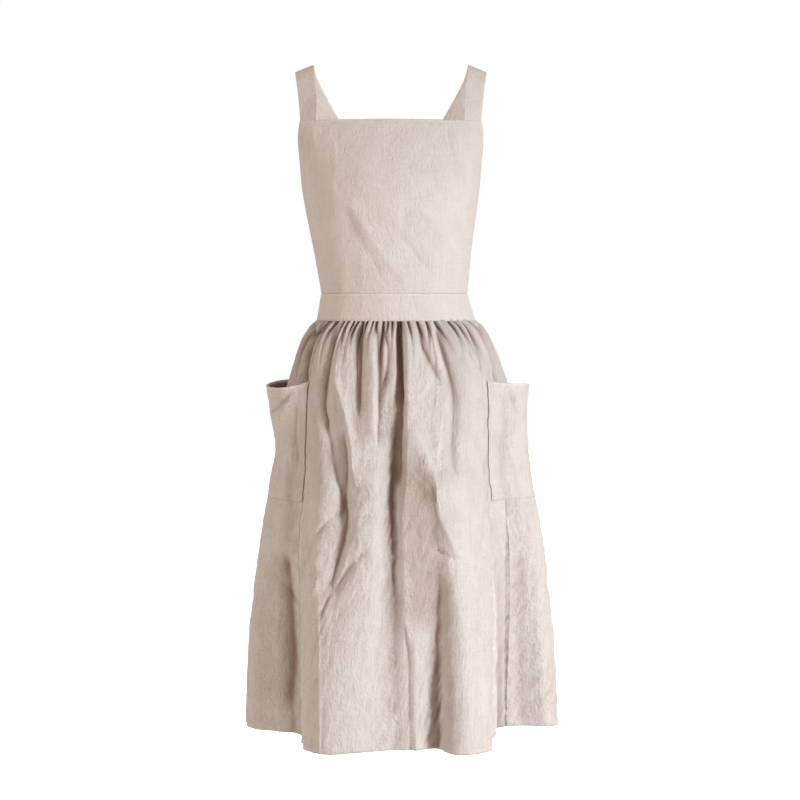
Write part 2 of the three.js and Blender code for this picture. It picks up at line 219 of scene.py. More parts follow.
# Shares of a mix, or of the noise that goes into it.
CROSS_SHARE = 0.6
STREAK_SHARE = 0.8
MOTTLE_SHARE = 0.6
GRAIN_SHARE = 0.7
STREAK_START = 0.2
# The last two shares mix in the painted highlight and the painted shade.
HIGHLIGHT_SHARE = 0.7
HOLLOW_SHARE = 0.8
print("one thread of the weave is raised", THREAD_HEIGHT * 1000, "mm")

# %% The weave group
def add_input(group, name, kind, value):
    socket = group.interface.new_socket(name, in_out="INPUT", socket_type=kind)
    socket.default_value = value


def make_weave_group():
    group = bpy.data.node_groups.new("linen_weave", "ShaderNodeTree")
    add_input(group, "Cloth", "NodeSocketColor", (0.75, 0.66, 0.6, 1))
    add_input(group, "Streak", "NodeSocketColor", (0.6, 0.5, 0.43, 1))
    # The next two colours are painted light: a warm brown for painted shade and a paler tone for painted
    # highlight.
    add_input(group, "Deep", "NodeSocketColor", (0.21, 0.104, 0.058, 1))
    add_input(group, "Highlight_colour", "NodeSocketColor", (0.92, 0.87, 0.84, 1))
    add_input(group, "Hollow", "NodeSocketFloat", 0.0)
    add_input(group, "Painted_highlight", "NodeSocketFloat", 0.0)
    add_input(group, "Thread", "NodeSocketFloat", 0.0008)
    add_input(group, "Slubs", "NodeSocketFloat", 0.3)
    add_input(group, "Crinkle", "NodeSocketFloat", 1.0)
    group.interface.new_socket("Color", in_out="OUTPUT", socket_type="NodeSocketColor")
    group.interface.new_socket("Height", in_out="OUTPUT", socket_type="NodeSocketFloat")
    group.interface.new_socket("Roughness", in_out="OUTPUT", socket_type="NodeSocketFloat")
    nodes, links = group.nodes, group.links
    given, result = nodes.new("NodeGroupInput"), nodes.new("NodeGroupOutput")
    place = nodes.new("ShaderNodeTexCoord").outputs["UV"]

    def join(source, target):
        if isinstance(source, (int, float)):
            target.default_value = source
        else:
            links.new(source, target)

    def math_node(operation, first, second=0.0):
        node = nodes.new("ShaderNodeMath")
        node.operation = operation
        join(first, node.inputs[0])
        join(second, node.inputs[1])
        return node.outputs[0]

    def noise(stretch, detail=2.0, roughness=0.5):
        mapping = nodes.new("ShaderNodeMapping")
        mapping.inputs["Scale"].default_value = (*stretch, 1)
        links.new(place, mapping.inputs["Vector"])
        node = nodes.new("ShaderNodeTexNoise")
        node.inputs["Scale"].default_value = 1
        node.inputs["Detail"].default_value = detail
        node.inputs["Roughness"].default_value = roughness
        links.new(mapping.outputs[0], node.inputs["Vector"])
        return node.outputs["Fac"]

    def mix(amount, first, second):
        node = nodes.new("ShaderNodeMix")
        node.data_type = "RGBA"
        join(amount, node.inputs["Factor"])
        links.new(first, node.inputs["A"])
        links.new(second, node.inputs["B"])
        return node.outputs["Result"]

    split = nodes.new("ShaderNodeSeparateXYZ")
    links.new(place, split.inputs[0])
    turns = math_node("DIVIDE", math.pi, given.outputs["Thread"])
    sway = math_node("MULTIPLY", noise(THREAD_SWAY), 2.4)
    warp = math_node("SINE", math_node("ADD", math_node("MULTIPLY", split.outputs["X"], turns), sway))
    weft = math_node("SINE", math_node("ADD", math_node("MULTIPLY", split.outputs["Y"], turns), sway))
    crossing = math_node("MULTIPLY", warp, weft)
    long_streaks = noise(LONG_STREAKS, 3, 0.65)
    cross_streaks = noise(CROSS_STREAKS, 3, 0.65)
    cross = math_node("MULTIPLY", math_node("SUBTRACT", cross_streaks, 0.5), CROSS_SHARE)
    streaks = math_node("ADD", math_node("SUBTRACT", long_streaks, 0.5), cross)
    mottle = math_node("SUBTRACT", noise(MOTTLE, 4, 0.6), 0.5)
    grain = math_node("SUBTRACT", noise(GRAIN, 3, 0.7), 0.5)
    streak_part = math_node("MULTIPLY", streaks, STREAK_SHARE)
    amount = math_node("ADD", streak_part, math_node("MULTIPLY", mottle, MOTTLE_SHARE))
    amount = math_node("ADD", amount, math_node("MULTIPLY", grain, GRAIN_SHARE))
    amount = math_node("ADD", math_node("MULTIPLY", amount, given.outputs["Slubs"]), STREAK_START)
    clamp = nodes.new("ShaderNodeClamp")
    links.new(amount, clamp.inputs["Value"])
    surface = mix(clamp.outputs[0], given.outputs["Cloth"], given.outputs["Streak"])
    # Painted highlight: the paler tone mixed in by the second mask.
    highlight = math_node("MULTIPLY", given.outputs["Painted_highlight"], HIGHLIGHT_SHARE)
    surface = mix(highlight, surface, given.outputs["Highlight_colour"])
    # Painted shade: the deep warm brown mixed in by the hollow mask.
    shaded = math_node("MULTIPLY", given.outputs["Hollow"], HOLLOW_SHARE)
    links.new(mix(shaded, surface, given.outputs["Deep"]), result.inputs["Color"])

    threads = math_node("MULTIPLY", crossing, THREAD_HEIGHT)
    slub_height = math_node("MULTIPLY", streaks, SLUB_HEIGHT)
    crinkle = math_node("ADD", math_node("MULTIPLY", noise(CRINKLES, 4, 0.72), CRINKLE_HEIGHT),
                        math_node("MULTIPLY", noise(FINE_CRINKLES, 3, 0.65), FINE_CRINKLE_HEIGHT))
    crease = math_node("ABSOLUTE", math_node("SUBTRACT", noise(CREASES, 3, 0.55), 0.5))
    crease = math_node("MINIMUM", math_node("MULTIPLY", crease, CREASE_WIDTH_RISE), 1)
    crinkle = math_node("ADD", crinkle, math_node("MULTIPLY", crease, CREASE_HEIGHT))
    crinkle = math_node("MULTIPLY", crinkle, given.outputs["Crinkle"])
    height = math_node("ADD", math_node("ADD", threads, slub_height), crinkle)
    links.new(height, result.inputs["Height"])
    rough = math_node("ADD", math_node("MULTIPLY", streaks, 0.15), 0.88)
    links.new(rough, result.inputs["Roughness"])
    return group


weave_group = make_weave_group()
print("weave group", len(weave_group.nodes), "nodes")

# %% [markdown]
# ## One linen for each part
# The whole apron is cut from one bolt, so the colours are the same everywhere. The skirt and
# the pockets are the most crumpled, the folded band and straps the least. A little sheen on
# the shader stands for the short fibres that stand up from the threads.

# %% The linen materials
# Both masks carry painted light: hollow is painted shade, and the second is painted highlight.
MASKS = ("hollow", "painted_highlight")


def make_linen(name, cloth, streak, slubs=0.5, crinkle=1.0, thread=0.0008):
    material = bpy.data.materials.new(name)
    material.use_nodes = True
    nodes, links = material.node_tree.nodes, material.node_tree.links
    shader = nodes["Principled BSDF"]
    weave = nodes.new("ShaderNodeGroup")
    weave.node_tree = weave_group
    weave.inputs["Cloth"].default_value = (*cloth, 1)
    weave.inputs["Streak"].default_value = (*streak, 1)
    weave.inputs["Slubs"].default_value = slubs
    weave.inputs["Crinkle"].default_value = crinkle
    weave.inputs["Thread"].default_value = thread
    for mask_name in MASKS:
        mask = nodes.new("ShaderNodeAttribute")
        mask.attribute_name = mask_name
        links.new(mask.outputs["Fac"], weave.inputs[mask_name.capitalize()])
    bump = nodes.new("ShaderNodeBump")
    bump.inputs["Strength"].default_value = 1
    bump.inputs["Distance"].default_value = 1
    links.new(weave.outputs["Height"], bump.inputs["Height"])
    links.new(weave.outputs["Color"], shader.inputs["Base Color"])
    links.new(weave.outputs["Roughness"], shader.inputs["Roughness"])
    links.new(bump.outputs["Normal"], shader.inputs["Normal"])
    shader.inputs["Specular IOR Level"].default_value = 0.2
    shader.inputs["Sheen Weight"].default_value = 0.15
    shader.inputs["Sheen Roughness"].default_value = 0.5
    return material


CLOTH = (0.735, 0.677, 0.648)
STREAK = (0.54, 0.455, 0.4)
THREAD = (0.82, 0.74, 0.68)
FINISHES = {
    "bib": {"slubs": 0.9, "crinkle": 1.5},
    "band": {"slubs": 0.9, "crinkle": 1.3},
    "skirt": {"slubs": 1.3, "crinkle": 2.3},
    "pocket": {"slubs": 1.2, "crinkle": 2.2},
    "strap": {"slubs": 0.9, "crinkle": 1.2},
}
linen = {part: make_linen("linen_" + part, CLOTH, STREAK, **finish) for part, finish in FINISHES.items()}
linen["thread"] = make_linen("sewing_thread", THREAD, STREAK, slubs=0.1, crinkle=0.1)
print(len(linen), "materials")

# %% [markdown]
# ## Levels and small tools
# The heights of the seams are read from the fixed model. The other sizes stand in the cells of
# the pieces that they shape, in metres. Tables hold shares of them, and a smooth curve runs
# through each table, so a few rows shape a whole sheet.

# %% Levels of the apron
bib_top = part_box("bib")[1].z
band_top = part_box("waistband")[1].z
band_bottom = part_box("waistband")[0].z
skirt_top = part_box("skirt_front")[1].z
skirt_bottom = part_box("skirt_front")[0].z
print("bib top", bib_top, "band", band_top, band_bottom, "skirt", skirt_top, skirt_bottom)

# %% Curves through tables, easing and seeded noise
def through(places, values, at):
    """A smooth curve through a table's column, read at many places."""
    places, values = np.asarray(places, float), np.asarray(values, float)
    at = np.clip(at, places[0], places[-1])
    last = len(places) - 1
    i = np.clip(np.searchsorted(places, at, side="right") - 1, 0, last - 1)
    before, after = np.maximum(i - 1, 0), np.minimum(i + 2, last)
    step = places[i + 1] - places[i]
    t = (at - places[i]) / step
    start = (values[i + 1] - values[before]) / (places[i + 1] - places[before]) * step
    end = (values[after] - values[i]) / (places[after] - places[i]) * step
    rise = values[i + 1] - values[i]
    return values[i] + t * (start + t * ((3 * rise - 2 * start - end) + t * (start + end - 2 * rise)))


def ease(value, low, high):
    t = np.clip((value - low) / (high - low), 0, 1)
    return t * t * (3 - 2 * t)


LATTICE = 256
lattices = {}


def noise(x, y, seed):
    """Smooth noise from 0 to 1, one lump for each unit of x and y, the same every run."""
    if seed not in lattices:
        lattices[seed] = np.random.default_rng(seed).random((LATTICE, LATTICE))
    values = lattices[seed]
    column, row = np.floor(x).astype(int), np.floor(y).astype(int)
    fx, fy = x - column, y - row
    fx, fy = fx * fx * (3 - 2 * fx), fy * fy * (3 - 2 * fy)
    near, far = column % LATTICE, (column + 1) % LATTICE
    low, high = row % LATTICE, (row + 1) % LATTICE
    top = values[low, near] * (1 - fx) + values[low, far] * fx
    bottom = values[high, near] * (1 - fx) + values[high, far] * fx
    return top * (1 - fy) + bottom * fy


def crumple(x, y, size, seed):
    """Creased relief of washed cloth, about -1 to 1: folded noise, bent by slower noise."""
    bend = 0.9 * (noise(x / size / 2.3, y / size / 2.3, seed + 1) - 0.5)
    first = 1 - np.abs(2 * noise(x / size + bend, y / size - bend, seed + 2) - 1)
    second = 1 - np.abs(2 * noise(1.9 * x / size - bend, 1.9 * y / size + bend, seed + 3) - 1)
    third = noise(4.1 * x / size, 4.1 * y / size, seed + 4)
    return 0.9 * first + 0.45 * second + 0.25 * third - 0.85


print("noise at one place", round(float(noise(np.array(0.5), np.array(0.5), 0)), 3))

# %% [markdown]
# ## Folds drawn in the picture
# Cloth folds could come from a cloth simulation, but that gives folds of its own. These have to
# lie where the real ones do, so each is drawn: a short line down the picture, in columns and
# rows. The cloth beside it falls away over one distance to its left and another to its right,
# in pixels, so a narrow side gives a sharp edge and a wide side a slow slope. Depth is in
# metres, and negative into the cloth. A soft fold is rounded, and a crisp one has a ridge.
# A shade is drawn in the same way. It moves nothing and darkens the cloth by its share.

# %% Reading a table of folds
END_FADE = 14
SOFT_POWER = 2
CRISP_POWER = 1.25


def fold(path, left, right, depth, soft=False, fade=END_FADE):
    """One row of a table of folds."""
    power = SOFT_POWER if soft else CRISP_POWER
    return {"path": np.array(path, float), "left": left, "right": right,
            "depth": depth, "power": power, "fade": fade}


def shade(path, left, right, dark, soft=False, fade=END_FADE):
    """One row of a table of shades: dark is a share from 0 to 1."""
    return fold(path, left, right, dark, soft, fade)


def fold_relief(folds, column, row):
    """The folds of a table added up, at many places of the picture."""
    total = np.zeros_like(column)
    for line in folds.values():
        path, fade = line["path"], line["fade"]
        middle = through(path[:, 1], path[:, 0], row)
        slant = (through(path[:, 1], path[:, 0], row + 1) - middle)
        beside = (column - middle) / np.sqrt(1 + slant * slant)
        reach = np.where(beside < 0, line["left"], line["right"])
        window = ease(row, path[0, 1] - fade, path[0, 1] + fade / 2)
        window = window * (1 - ease(row, path[-1, 1] - fade / 2, path[-1, 1] + fade))
        total += line["depth"] * np.exp(-np.abs(beside / reach) ** line["power"]) * window
    return total

# %% [markdown]
# ## The cloth helper
# A sheet is built from a grid of points: rows run down the cloth and columns to its right as
# seen from outside. The second face lies a wall's thickness behind the first, along the
# grid's own normals, and a rim closes the two. The UV map holds metres along the cloth, so the
# weave has its true size on every piece.

# %% Normals and lengths of a grid
CLOTH_WALL = 0.0009


def grid_normals(points):
    """Directions out of the cloth, from each point's neighbours."""
    along = np.gradient(points, axis=1)
    down = np.gradient(points, axis=0)
    normals = np.cross(down, along)
    return normals / np.maximum(np.linalg.norm(normals, axis=2, keepdims=True), 1e-12)


def cloth_lengths(points):
    """Metres along the sheet's middle row and down its middle column."""
    middle_row, middle_column = points[len(points) // 2], points[:, points.shape[1] // 2]
    across = np.concatenate([[0], np.cumsum(np.linalg.norm(np.diff(middle_row, axis=0), axis=1))])
    down = np.concatenate([[0], np.cumsum(np.linalg.norm(np.diff(middle_column, axis=0), axis=1))])
    return across, down


print("one wall of cloth", CLOTH_WALL * 1000, "mm")

# %% [markdown]
# Light hardly reaches the bottom of a narrow fold, and real linen looks brown there. A renderer
# finds some of that by itself. The hollow mask adds the rest: it compares each point with its
# neighbours at three distances across the sheet, and is high where the point lies below them.

# %% The hollow mask
HOLLOW_REACHES = (3, 7, 14)
FULL_HOLLOW = 0.35


def hollow_mask(points):
    """How far each point lies in a hollow between its neighbours across the sheet, 0 to 1."""
    normals = grid_normals(points)
    columns = np.arange(points.shape[1])
    total = np.zeros(points.shape[:2])
    for reach in HOLLOW_REACHES:
        before = points[:, np.maximum(columns - reach, 0)]
        after = points[:, np.minimum(columns + reach, columns[-1])]
        rise = np.sum(((before + after) / 2 - points) * normals, axis=2)
        total += np.clip(rise / (FULL_HOLLOW * np.linalg.norm(after - before, axis=2)), 0, 1)
    return total / len(HOLLOW_REACHES)


def paint_mask(mesh, name, outer, inner, shape):
    """A value from 0 to 1 on each point, first of the outer face and then of the inner one."""
    faces = [np.broadcast_to(np.clip(side, 0, 1), shape).reshape(-1) for side in (outer, inner)]
    mesh.attributes.new(name, "FLOAT", "POINT").data.foreach_set("value", np.concatenate(faces))

# %% Grids into sheets
def sheet_faces(rows, columns):
    """Quads of the outer face, the inner face and the rim that closes the two."""
    index = np.arange(rows * columns).reshape(rows, columns)
    corners = [index[:-1, :-1], index[1:, :-1], index[1:, 1:], index[:-1, 1:]]
    quads = np.stack(corners, axis=-1).reshape(-1, 4)
    rim = np.concatenate([index[0, :-1], index[:-1, -1], index[-1, :0:-1], index[:0:-1, 0]])
    after = np.roll(rim, -1)
    behind = rows * columns
    sides = np.stack([rim, after, after + behind, rim + behind], axis=-1)
    return np.concatenate([quads, quads[:, ::-1] + behind, sides])


def lay_map(mesh, points, shift):
    """A UV map in metres of cloth, shifted so that no two pieces show the same threads."""
    across, down = cloth_lengths(points)
    places = np.stack(np.meshgrid(across + shift, -down), axis=-1).reshape(-1, 2)
    places = np.concatenate([places, places])
    layer = mesh.uv_layers.new(name="cloth")
    corners = np.empty(len(mesh.loops), int)
    mesh.loops.foreach_get("vertex_index", corners)
    layer.data.foreach_set("uv", places[corners].reshape(-1))
    return across[-1], down[-1]


def make_sheet(node, points, wall, material, shift=0.0, shade=0.0, inside=0.0, painted_highlight=0.0):
    """A closed sheet from a grid of points, in place of a node of the fixed model."""
    name, shape = node + "_cloth", points.shape[:2]
    wall = np.broadcast_to(np.asarray(wall, float), shape)
    inner = points - grid_normals(points) * wall[..., None]
    vertices = np.concatenate([points.reshape(-1, 3), inner.reshape(-1, 3)])
    faces = sheet_faces(*shape)
    mesh = bpy.data.meshes.new(name)
    mesh.from_pydata(vertices.tolist(), [], faces.tolist())
    width, length = lay_map(mesh, points, shift)
    # Painted shade: hollows and drawn shades on the outer face, and the inside value on the inner face.
    paint_mask(mesh, "hollow", hollow_mask(points) + shade, inside, shape)
    # Painted highlight, the same on both faces.
    paint_mask(mesh, "painted_highlight", painted_highlight, painted_highlight, shape)
    mesh.polygons.foreach_set("use_smooth", np.ones(len(mesh.polygons), bool))
    mesh.materials.append(material)
    sheet = bpy.data.objects.new(name, mesh)
    bpy.context.collection.objects.link(sheet)
    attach(sheet, "root")
    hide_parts(node)
    print(name, 2 * len(faces), "triangles,", round(width, 3), "by", round(length, 3), "m")
    return {"sheet": sheet, "width": width, "length": length, "points": points}

# %% [markdown]
# ## Stitches
# A row of stitches is many short threads, each with a thick middle and pointed ends that dip
# into the cloth. They are one joined mesh for each row: a picture of stitches would go flat
# from the side.

# %% A row of stitches along a line on the cloth
STITCH_LENGTH = 0.0031
STITCH_STEP = 0.0042
STITCH_THICK = 0.00026
print("a stitch is", STITCH_LENGTH * 1000, "mm long")


def stitch_row(points, normals):
    """Vertices and faces of stitches along a line of points that lies on the cloth."""
    steps = np.linalg.norm(np.diff(points, axis=0), axis=1)
    length = np.concatenate([[0], np.cumsum(steps)])
    starts = np.arange(STITCH_STEP / 2, length[-1] - STITCH_LENGTH, STITCH_STEP)

    def read(values, places):
        return np.stack([np.interp(places, length, values[:, k]) for k in range(3)], axis=-1)

    first, last = read(points, starts), read(points, starts + STITCH_LENGTH)
    up = read(normals, starts + STITCH_LENGTH / 2)
    up /= np.linalg.norm(up, axis=1, keepdims=True)
    middle = (first + last) / 2 + up * STITCH_THICK * 0.5
    along = (last - first) / np.linalg.norm(last - first, axis=1, keepdims=True)
    side = np.cross(along, up)
    ring = [middle + up * STITCH_THICK, middle + side * STITCH_THICK,
            middle - up * STITCH_THICK, middle - side * STITCH_THICK]
    vertices = np.stack([first, *ring, last], axis=1)
    pattern = [(0, 1, 2), (0, 2, 3), (0, 3, 4), (0, 4, 1), (5, 2, 1), (5, 3, 2), (5, 4, 3), (5, 1, 4)]
    faces = np.arange(len(starts))[:, None, None] * 6 + np.array(pattern)[None]
    return vertices.reshape(-1, 3), faces.reshape(-1, 3)


def make_stitches(name, rows):
    """One mesh of stitches from lines of points and normals."""
    vertices, faces, count = [], [], 0
    for points, normals in rows:
        some_vertices, some_faces = stitch_row(np.asarray(points), np.asarray(normals))
        vertices.append(some_vertices)
        faces.append(some_faces + count)
        count += len(some_vertices)
    mesh = bpy.data.meshes.new(name)
    mesh.from_pydata(np.concatenate(vertices).tolist(), [], np.concatenate(faces).tolist())
    mesh.polygons.foreach_set("use_smooth", np.ones(len(mesh.polygons), bool))
    mesh.materials.append(linen["thread"])
    thread = bpy.data.objects.new(name, mesh)
    bpy.context.collection.objects.link(thread)
    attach(thread, "root")
    print(name, len(mesh.polygons), "triangles")
    return thread

# %% [markdown]
# ## The body's sections
# The waistband is an oval, and the bib's sections swell from it to the chest. The centre line
# sways a little to the right below the waist, as the worn apron does.

# %% Ovals round the centre line
BAND_HEIGHT = 0.0435
BAND_TOP_WIDTH = 0.233
BAND_FLARE = 0.021
BAND_FRONT = 0.093
BAND_BACK = 0.08
BACK_GAP = 0.104
SIDE_SWAY = 0.0175
SWAY_DOWN = [0, 0.19, 0.34, 0.38, 0.65, 1]
SWAY_SHARE = [0, 0, 0.31, 0.46, 0.86, 1]


def sway(z):
    """How far the centre line lies to the right at a height."""
    return SIDE_SWAY * through(SWAY_DOWN, SWAY_SHARE, z / skirt_bottom)


def oval(half, front, back, turn, z):
    """A point at a turn from straight ahead, on an oval with its own front and back depth."""
    deep = np.where(np.cos(turn) > 0, front, back)
    x = sway(z) + half * np.sin(turn)
    return np.stack(np.broadcast_arrays(x, -deep * np.cos(turn), z), axis=-1)


def band_size(z):
    """Half the width, the front depth and the back depth of the waistband at a height."""
    flare = (band_top - z) / BAND_HEIGHT
    half = (BAND_TOP_WIDTH + BAND_FLARE * flare) / 2
    return half, BAND_FRONT + BAND_FLARE / 4 * flare, BAND_BACK + BAND_FLARE / 4 * flare


band_end_turn = math.pi - math.asin(BACK_GAP / BAND_TOP_WIDTH)
print("the waistband ends", round(math.degrees(band_end_turn)), "degrees from straight ahead")

# %% [markdown]
# ## Skirt
# The skirt is cut as straight panels and gathered into the waistband, so it has many short
# gathers at the top that merge into a few long folds. The base shape comes from a table of
# ridge and valley lines that run from the waistband to the hem. The gathers, the folds of the
# picture and the crumple of the cloth are added along its normals.
# A place along the skirt is counted in gathers, from the left back edge to the right one. The
# table's columns stand in the order of the lines: how many gathers come before the next line,
# the line's turn at the waistband in degrees, and its x and y at the hip and at the hem as
# shares of half the width and of the depth there.

# %% Lines from the waistband to the hem
SKIRT_LENGTH = 0.659
HEM_WIDTH = 0.501
HEM_FRONT = 0.178
HEM_BACK = 0.152
HIP_DROP = 0.284
LINE_NAMES = ["left_edge", "left_back", "left_pocket_back", "left_side", "left_hollow", "left_seam",
              "left_corner", "left_ridge", "middle_ridge", "deep_valley", "sharp_ridge", "wide_valley",
              "right_ridge", "right_shoulder", "right_corner", "right_pocket_front", "right_seam",
              "right_hollow", "right_side", "right_pocket_back", "right_back", "right_edge"]
GATHERS_TO_NEXT = [2, 3, 3, 2, 2, 3, 3, 3, 2, 1, 3, 2, 1, 2, 3, 1, 2, 2, 3, 3, 2]
TURNS = [-155, -138, -116, -90, -72, -57, -46, -31, -14, 0, 6, 22, 33, 39, 47, 58, 68, 82, 96, 118, 140, 155]
HIP_X = [-0.32, -0.58, -0.89, -1, -0.88, -0.72, -0.59, -0.4, -0.2, -0.06, 0.02, 0.24, 0.39, 0.52, 0.6,
         0.67, 0.78, 0.91, 1.01, 0.88, 0.56, 0.3]
HIP_Y = [0.95, 0.86, 0.54, 0.06, -0.23, -0.45, -0.72, -0.82, -0.94, -0.83, -0.94, -0.87, -0.86, -0.72,
         -0.55, -0.35, -0.18, -0.09, 0.12, 0.57, 0.87, 0.95]
HEM_X = [-0.3, -0.6, -0.89, -1, -0.81, -0.64, -0.6, -0.47, -0.28, -0.06, 0.03, 0.22, 0.33, 0.49, 0.55,
         0.6, 0.68, 0.82, 1, 0.89, 0.59, 0.28]
HEM_Y = [1, 0.88, 0.53, 0.04, -0.2, -0.37, -0.84, -1, -0.96, -0.88, -0.9, -0.83, -1, -0.94, -0.72,
         -0.08, -0.01, 0.01, 0.03, 0.54, 0.89, 1]

line_places = np.concatenate([[0], np.cumsum(GATHERS_TO_NEXT)]).astype(float)
gather_count = line_places[-1]
line_turns = np.radians(TURNS) * band_end_turn / math.radians(TURNS[-1])
hip_share = HIP_DROP / SKIRT_LENGTH
print(len(LINE_NAMES), "lines over", int(gather_count), "gathers")


def place_of(name):
    """A line's place, counted in gathers."""
    return line_places[LINE_NAMES.index(name)]

# %% [markdown]
# The skirt widens in two ways: it puffs out at once where the gathers push it off the band,
# and then spreads more and more slowly down to the hem.

# %% The smooth skirt
PUFF_SHARE = 0.2
PUFF_REACH = 0.045
SPREAD_POWER = 1.75


def skirt_share(place, down, waist, hip, hem):
    at_waist = through(line_places, waist, place)
    at_hip = through(line_places, hip, place)
    at_hem = through(line_places, hem, place)
    upper = at_waist + (at_hip - at_waist) * ease(down, 0, hip_share)
    lower = at_hip + (at_hem - at_hip) * ease(down, hip_share, 1)
    return np.where(down < hip_share, upper, lower)


def skirt_surface(place, down):
    """The smooth skirt. Places count gathers from the left back edge; down runs from 0 to 1."""
    held = np.clip(down, 0, 1)
    z = skirt_top - down * SKIRT_LENGTH
    half, front, back = band_size(band_bottom)
    spread = PUFF_SHARE * (1 - np.exp(-held / PUFF_REACH))
    spread = spread + (1 - PUFF_SHARE) * (1 - (1 - held) ** SPREAD_POWER)
    deep = skirt_share(place, held, -np.cos(line_turns), HIP_Y, HEM_Y)
    depth = np.where(deep < 0, front + (HEM_FRONT - front) * spread, back + (HEM_BACK - back) * spread)
    half = half + (HEM_WIDTH / 2 - half) * spread
    x = sway(z) + half * skirt_share(place, held, np.sin(line_turns), HIP_X, HEM_X)
    return np.stack([x, depth * deep, z], axis=-1)

# %% [markdown]
# ## Gathers
# Each gather is a valley pinched at the seam that dies out further down. Those in front are
# set at the picture's own columns, each with how far it runs, in rows, and how it leans. At the
# sides and the back, where no picture shows them, a seeded draw spaces them evenly.
# Between two valleys the cloth swells: in small puffs between all of them near the seam, and
# in larger ones between the long gathers below.

# %% Where the gathers are
GATHER_COLUMNS = [313, 319, 325.5, 331, 336, 344.6, 348.5, 354, 357.7, 363, 367.6, 373, 376.5, 383.5,
                  388, 392, 397.6, 401.5, 408, 417, 426.5, 435, 448.5, 454.5, 461, 469, 472.5]
GATHER_DROPS = [10, 8, 22, 12, 9, 13, 20, 9, 13, 18, 10, 12, 9, 24, 9, 12, 30, 9, 10, 15, 20, 16, 14,
                16, 22, 14, 10]
GATHER_LEANS = [-0.1, 0, -0.3, 0, -0.1, 0, 0.1, 0, -0.1, 0.1, 0, 0.1, 0, 0, 0, 0, 0, 0, 0, 0.1, -0.15,
                0.2, 0.1, 0.15, 0.1, 0.1, 0.15]
GATHER_SPACING = 0.0105
TOP_SAMPLES = 2400
FRONT_SAMPLES = 800
fine_places = np.linspace(place_of("left_seam"), place_of("right_seam"), FRONT_SAMPLES)
fine_columns = picture_place(skirt_surface(fine_places, np.zeros(FRONT_SAMPLES)))[0]
top_places = np.linspace(0, gather_count, TOP_SAMPLES)
top_points = skirt_surface(top_places, np.zeros(TOP_SAMPLES))
top_length = np.concatenate([[0], np.cumsum(np.linalg.norm(np.diff(top_points, axis=0), axis=1))])


def top_distance(place):
    """Metres along the skirt's top edge to a place."""
    return np.interp(place, top_places, top_length)


def gather_rows():
    """Each gather's place along the waistband, how far it runs down, its strength and its lean."""
    draw = np.random.default_rng(7)
    front = top_distance(np.interp(GATHER_COLUMNS, fine_columns, fine_places))
    rows = [(at, drop, 1.0, lean) for at, drop, lean in zip(front, GATHER_DROPS, GATHER_LEANS)]
    for low, high in ((0, front[0]), (front[-1], top_length[-1])):
        count = int((high - low) / GATHER_SPACING)
        for i in range(1, count):
            at = low + (high - low) * (i + draw.uniform(-0.25, 0.25)) / count
            rows.append((at, draw.uniform(7, 26), draw.uniform(0.7, 1.2), draw.uniform(-0.12, 0.12)))
    return np.array(sorted(rows))


gathers = gather_rows()
print(len(gathers), "gathers over", round(top_length[-1], 3), "m of waistband")

# %% The relief of the gathers
GATHER_DEPTH = 0.0095
GATHER_WIDTH = 0.0013
GATHER_WIDENING = 0.06
GATHER_RUN = 0.0017
GATHER_SHADE = 1.5
LONG_GATHER = 17
SMALL_PUFF = 0.0085
SMALL_PUFF_RUN = 0.036
LARGE_PUFF = 0.0066
LARGE_PUFF_RUN = 0.09
PUFF_MIDDLE = 0.75
DRAG_LINES = 0.0013
DRAG_LINE_RUN = 0.14
SEAM_ROLL = 0.0026
SEAM_ROLL_RUN = 0.05


def puffs(at, valleys):
    """Rounded swellings between sharp valleys: 0 in each valley and 1 midway between two."""
    index = np.interp(at, valleys, np.arange(len(valleys)))
    share = index - np.floor(index)
    return np.sqrt(np.maximum(1 - (2 * share - 1) ** 2, 0))


def gather_relief(place, down):
    """Relief in metres and shade from 0, for the puffs, the valleys and the rolled seam."""
    at = top_distance(place)
    drop = down * SKIRT_LENGTH
    bend = 0.09 * (noise(at / 0.04, drop / 0.06, 61) - 0.5) * drop
    long_ones = gathers[gathers[:, 1] > LONG_GATHER, 0]
    small = puffs(at + bend, gathers[:, 0]) - PUFF_MIDDLE
    large = puffs(at + bend, long_ones) - PUFF_MIDDLE
    relief = SMALL_PUFF * small * np.exp(-((drop / SMALL_PUFF_RUN) ** 1.3))
    relief = relief + LARGE_PUFF * large * ease(drop, 0, 0.03) * np.exp(-((drop / LARGE_PUFF_RUN) ** 2))
    drag = crumple(at + bend, drop * 0.1, 0.0105, 63) * np.exp(-((drop / DRAG_LINE_RUN) ** 2))
    relief = relief + DRAG_LINES * drag * ease(drop, 0, 0.02)
    relief = relief + SEAM_ROLL * ease(drop, 0, 0.01) * np.exp(-drop / SEAM_ROLL_RUN)
    dark = np.zeros_like(relief)
    for middle, run, strength, lean in gathers:
        beside = np.abs(at - middle - lean * drop)
        width = GATHER_WIDTH + GATHER_WIDENING * drop
        fade = np.exp(-((drop / (run * GATHER_RUN)) ** 1.6))
        relief = relief - GATHER_DEPTH * strength * np.exp(-(beside / width) ** 1.3) * fade
        dark = dark + GATHER_SHADE * strength * np.exp(-(beside / (0.9 * width)) ** 2) * fade
    return relief, dark


print("the longest gather runs", round(gathers[:, 1].max() * GATHER_RUN * 1000), "mm down")

# %% [markdown]
# ## Long folds
# Below the gathers a few folds carry on. The deep valley right of the middle, the slanting
# ridge that starts beside it and the long ridge under that make the skirt's character. Each
# row is one fold, named by what it is and where it lies as seen from the front.

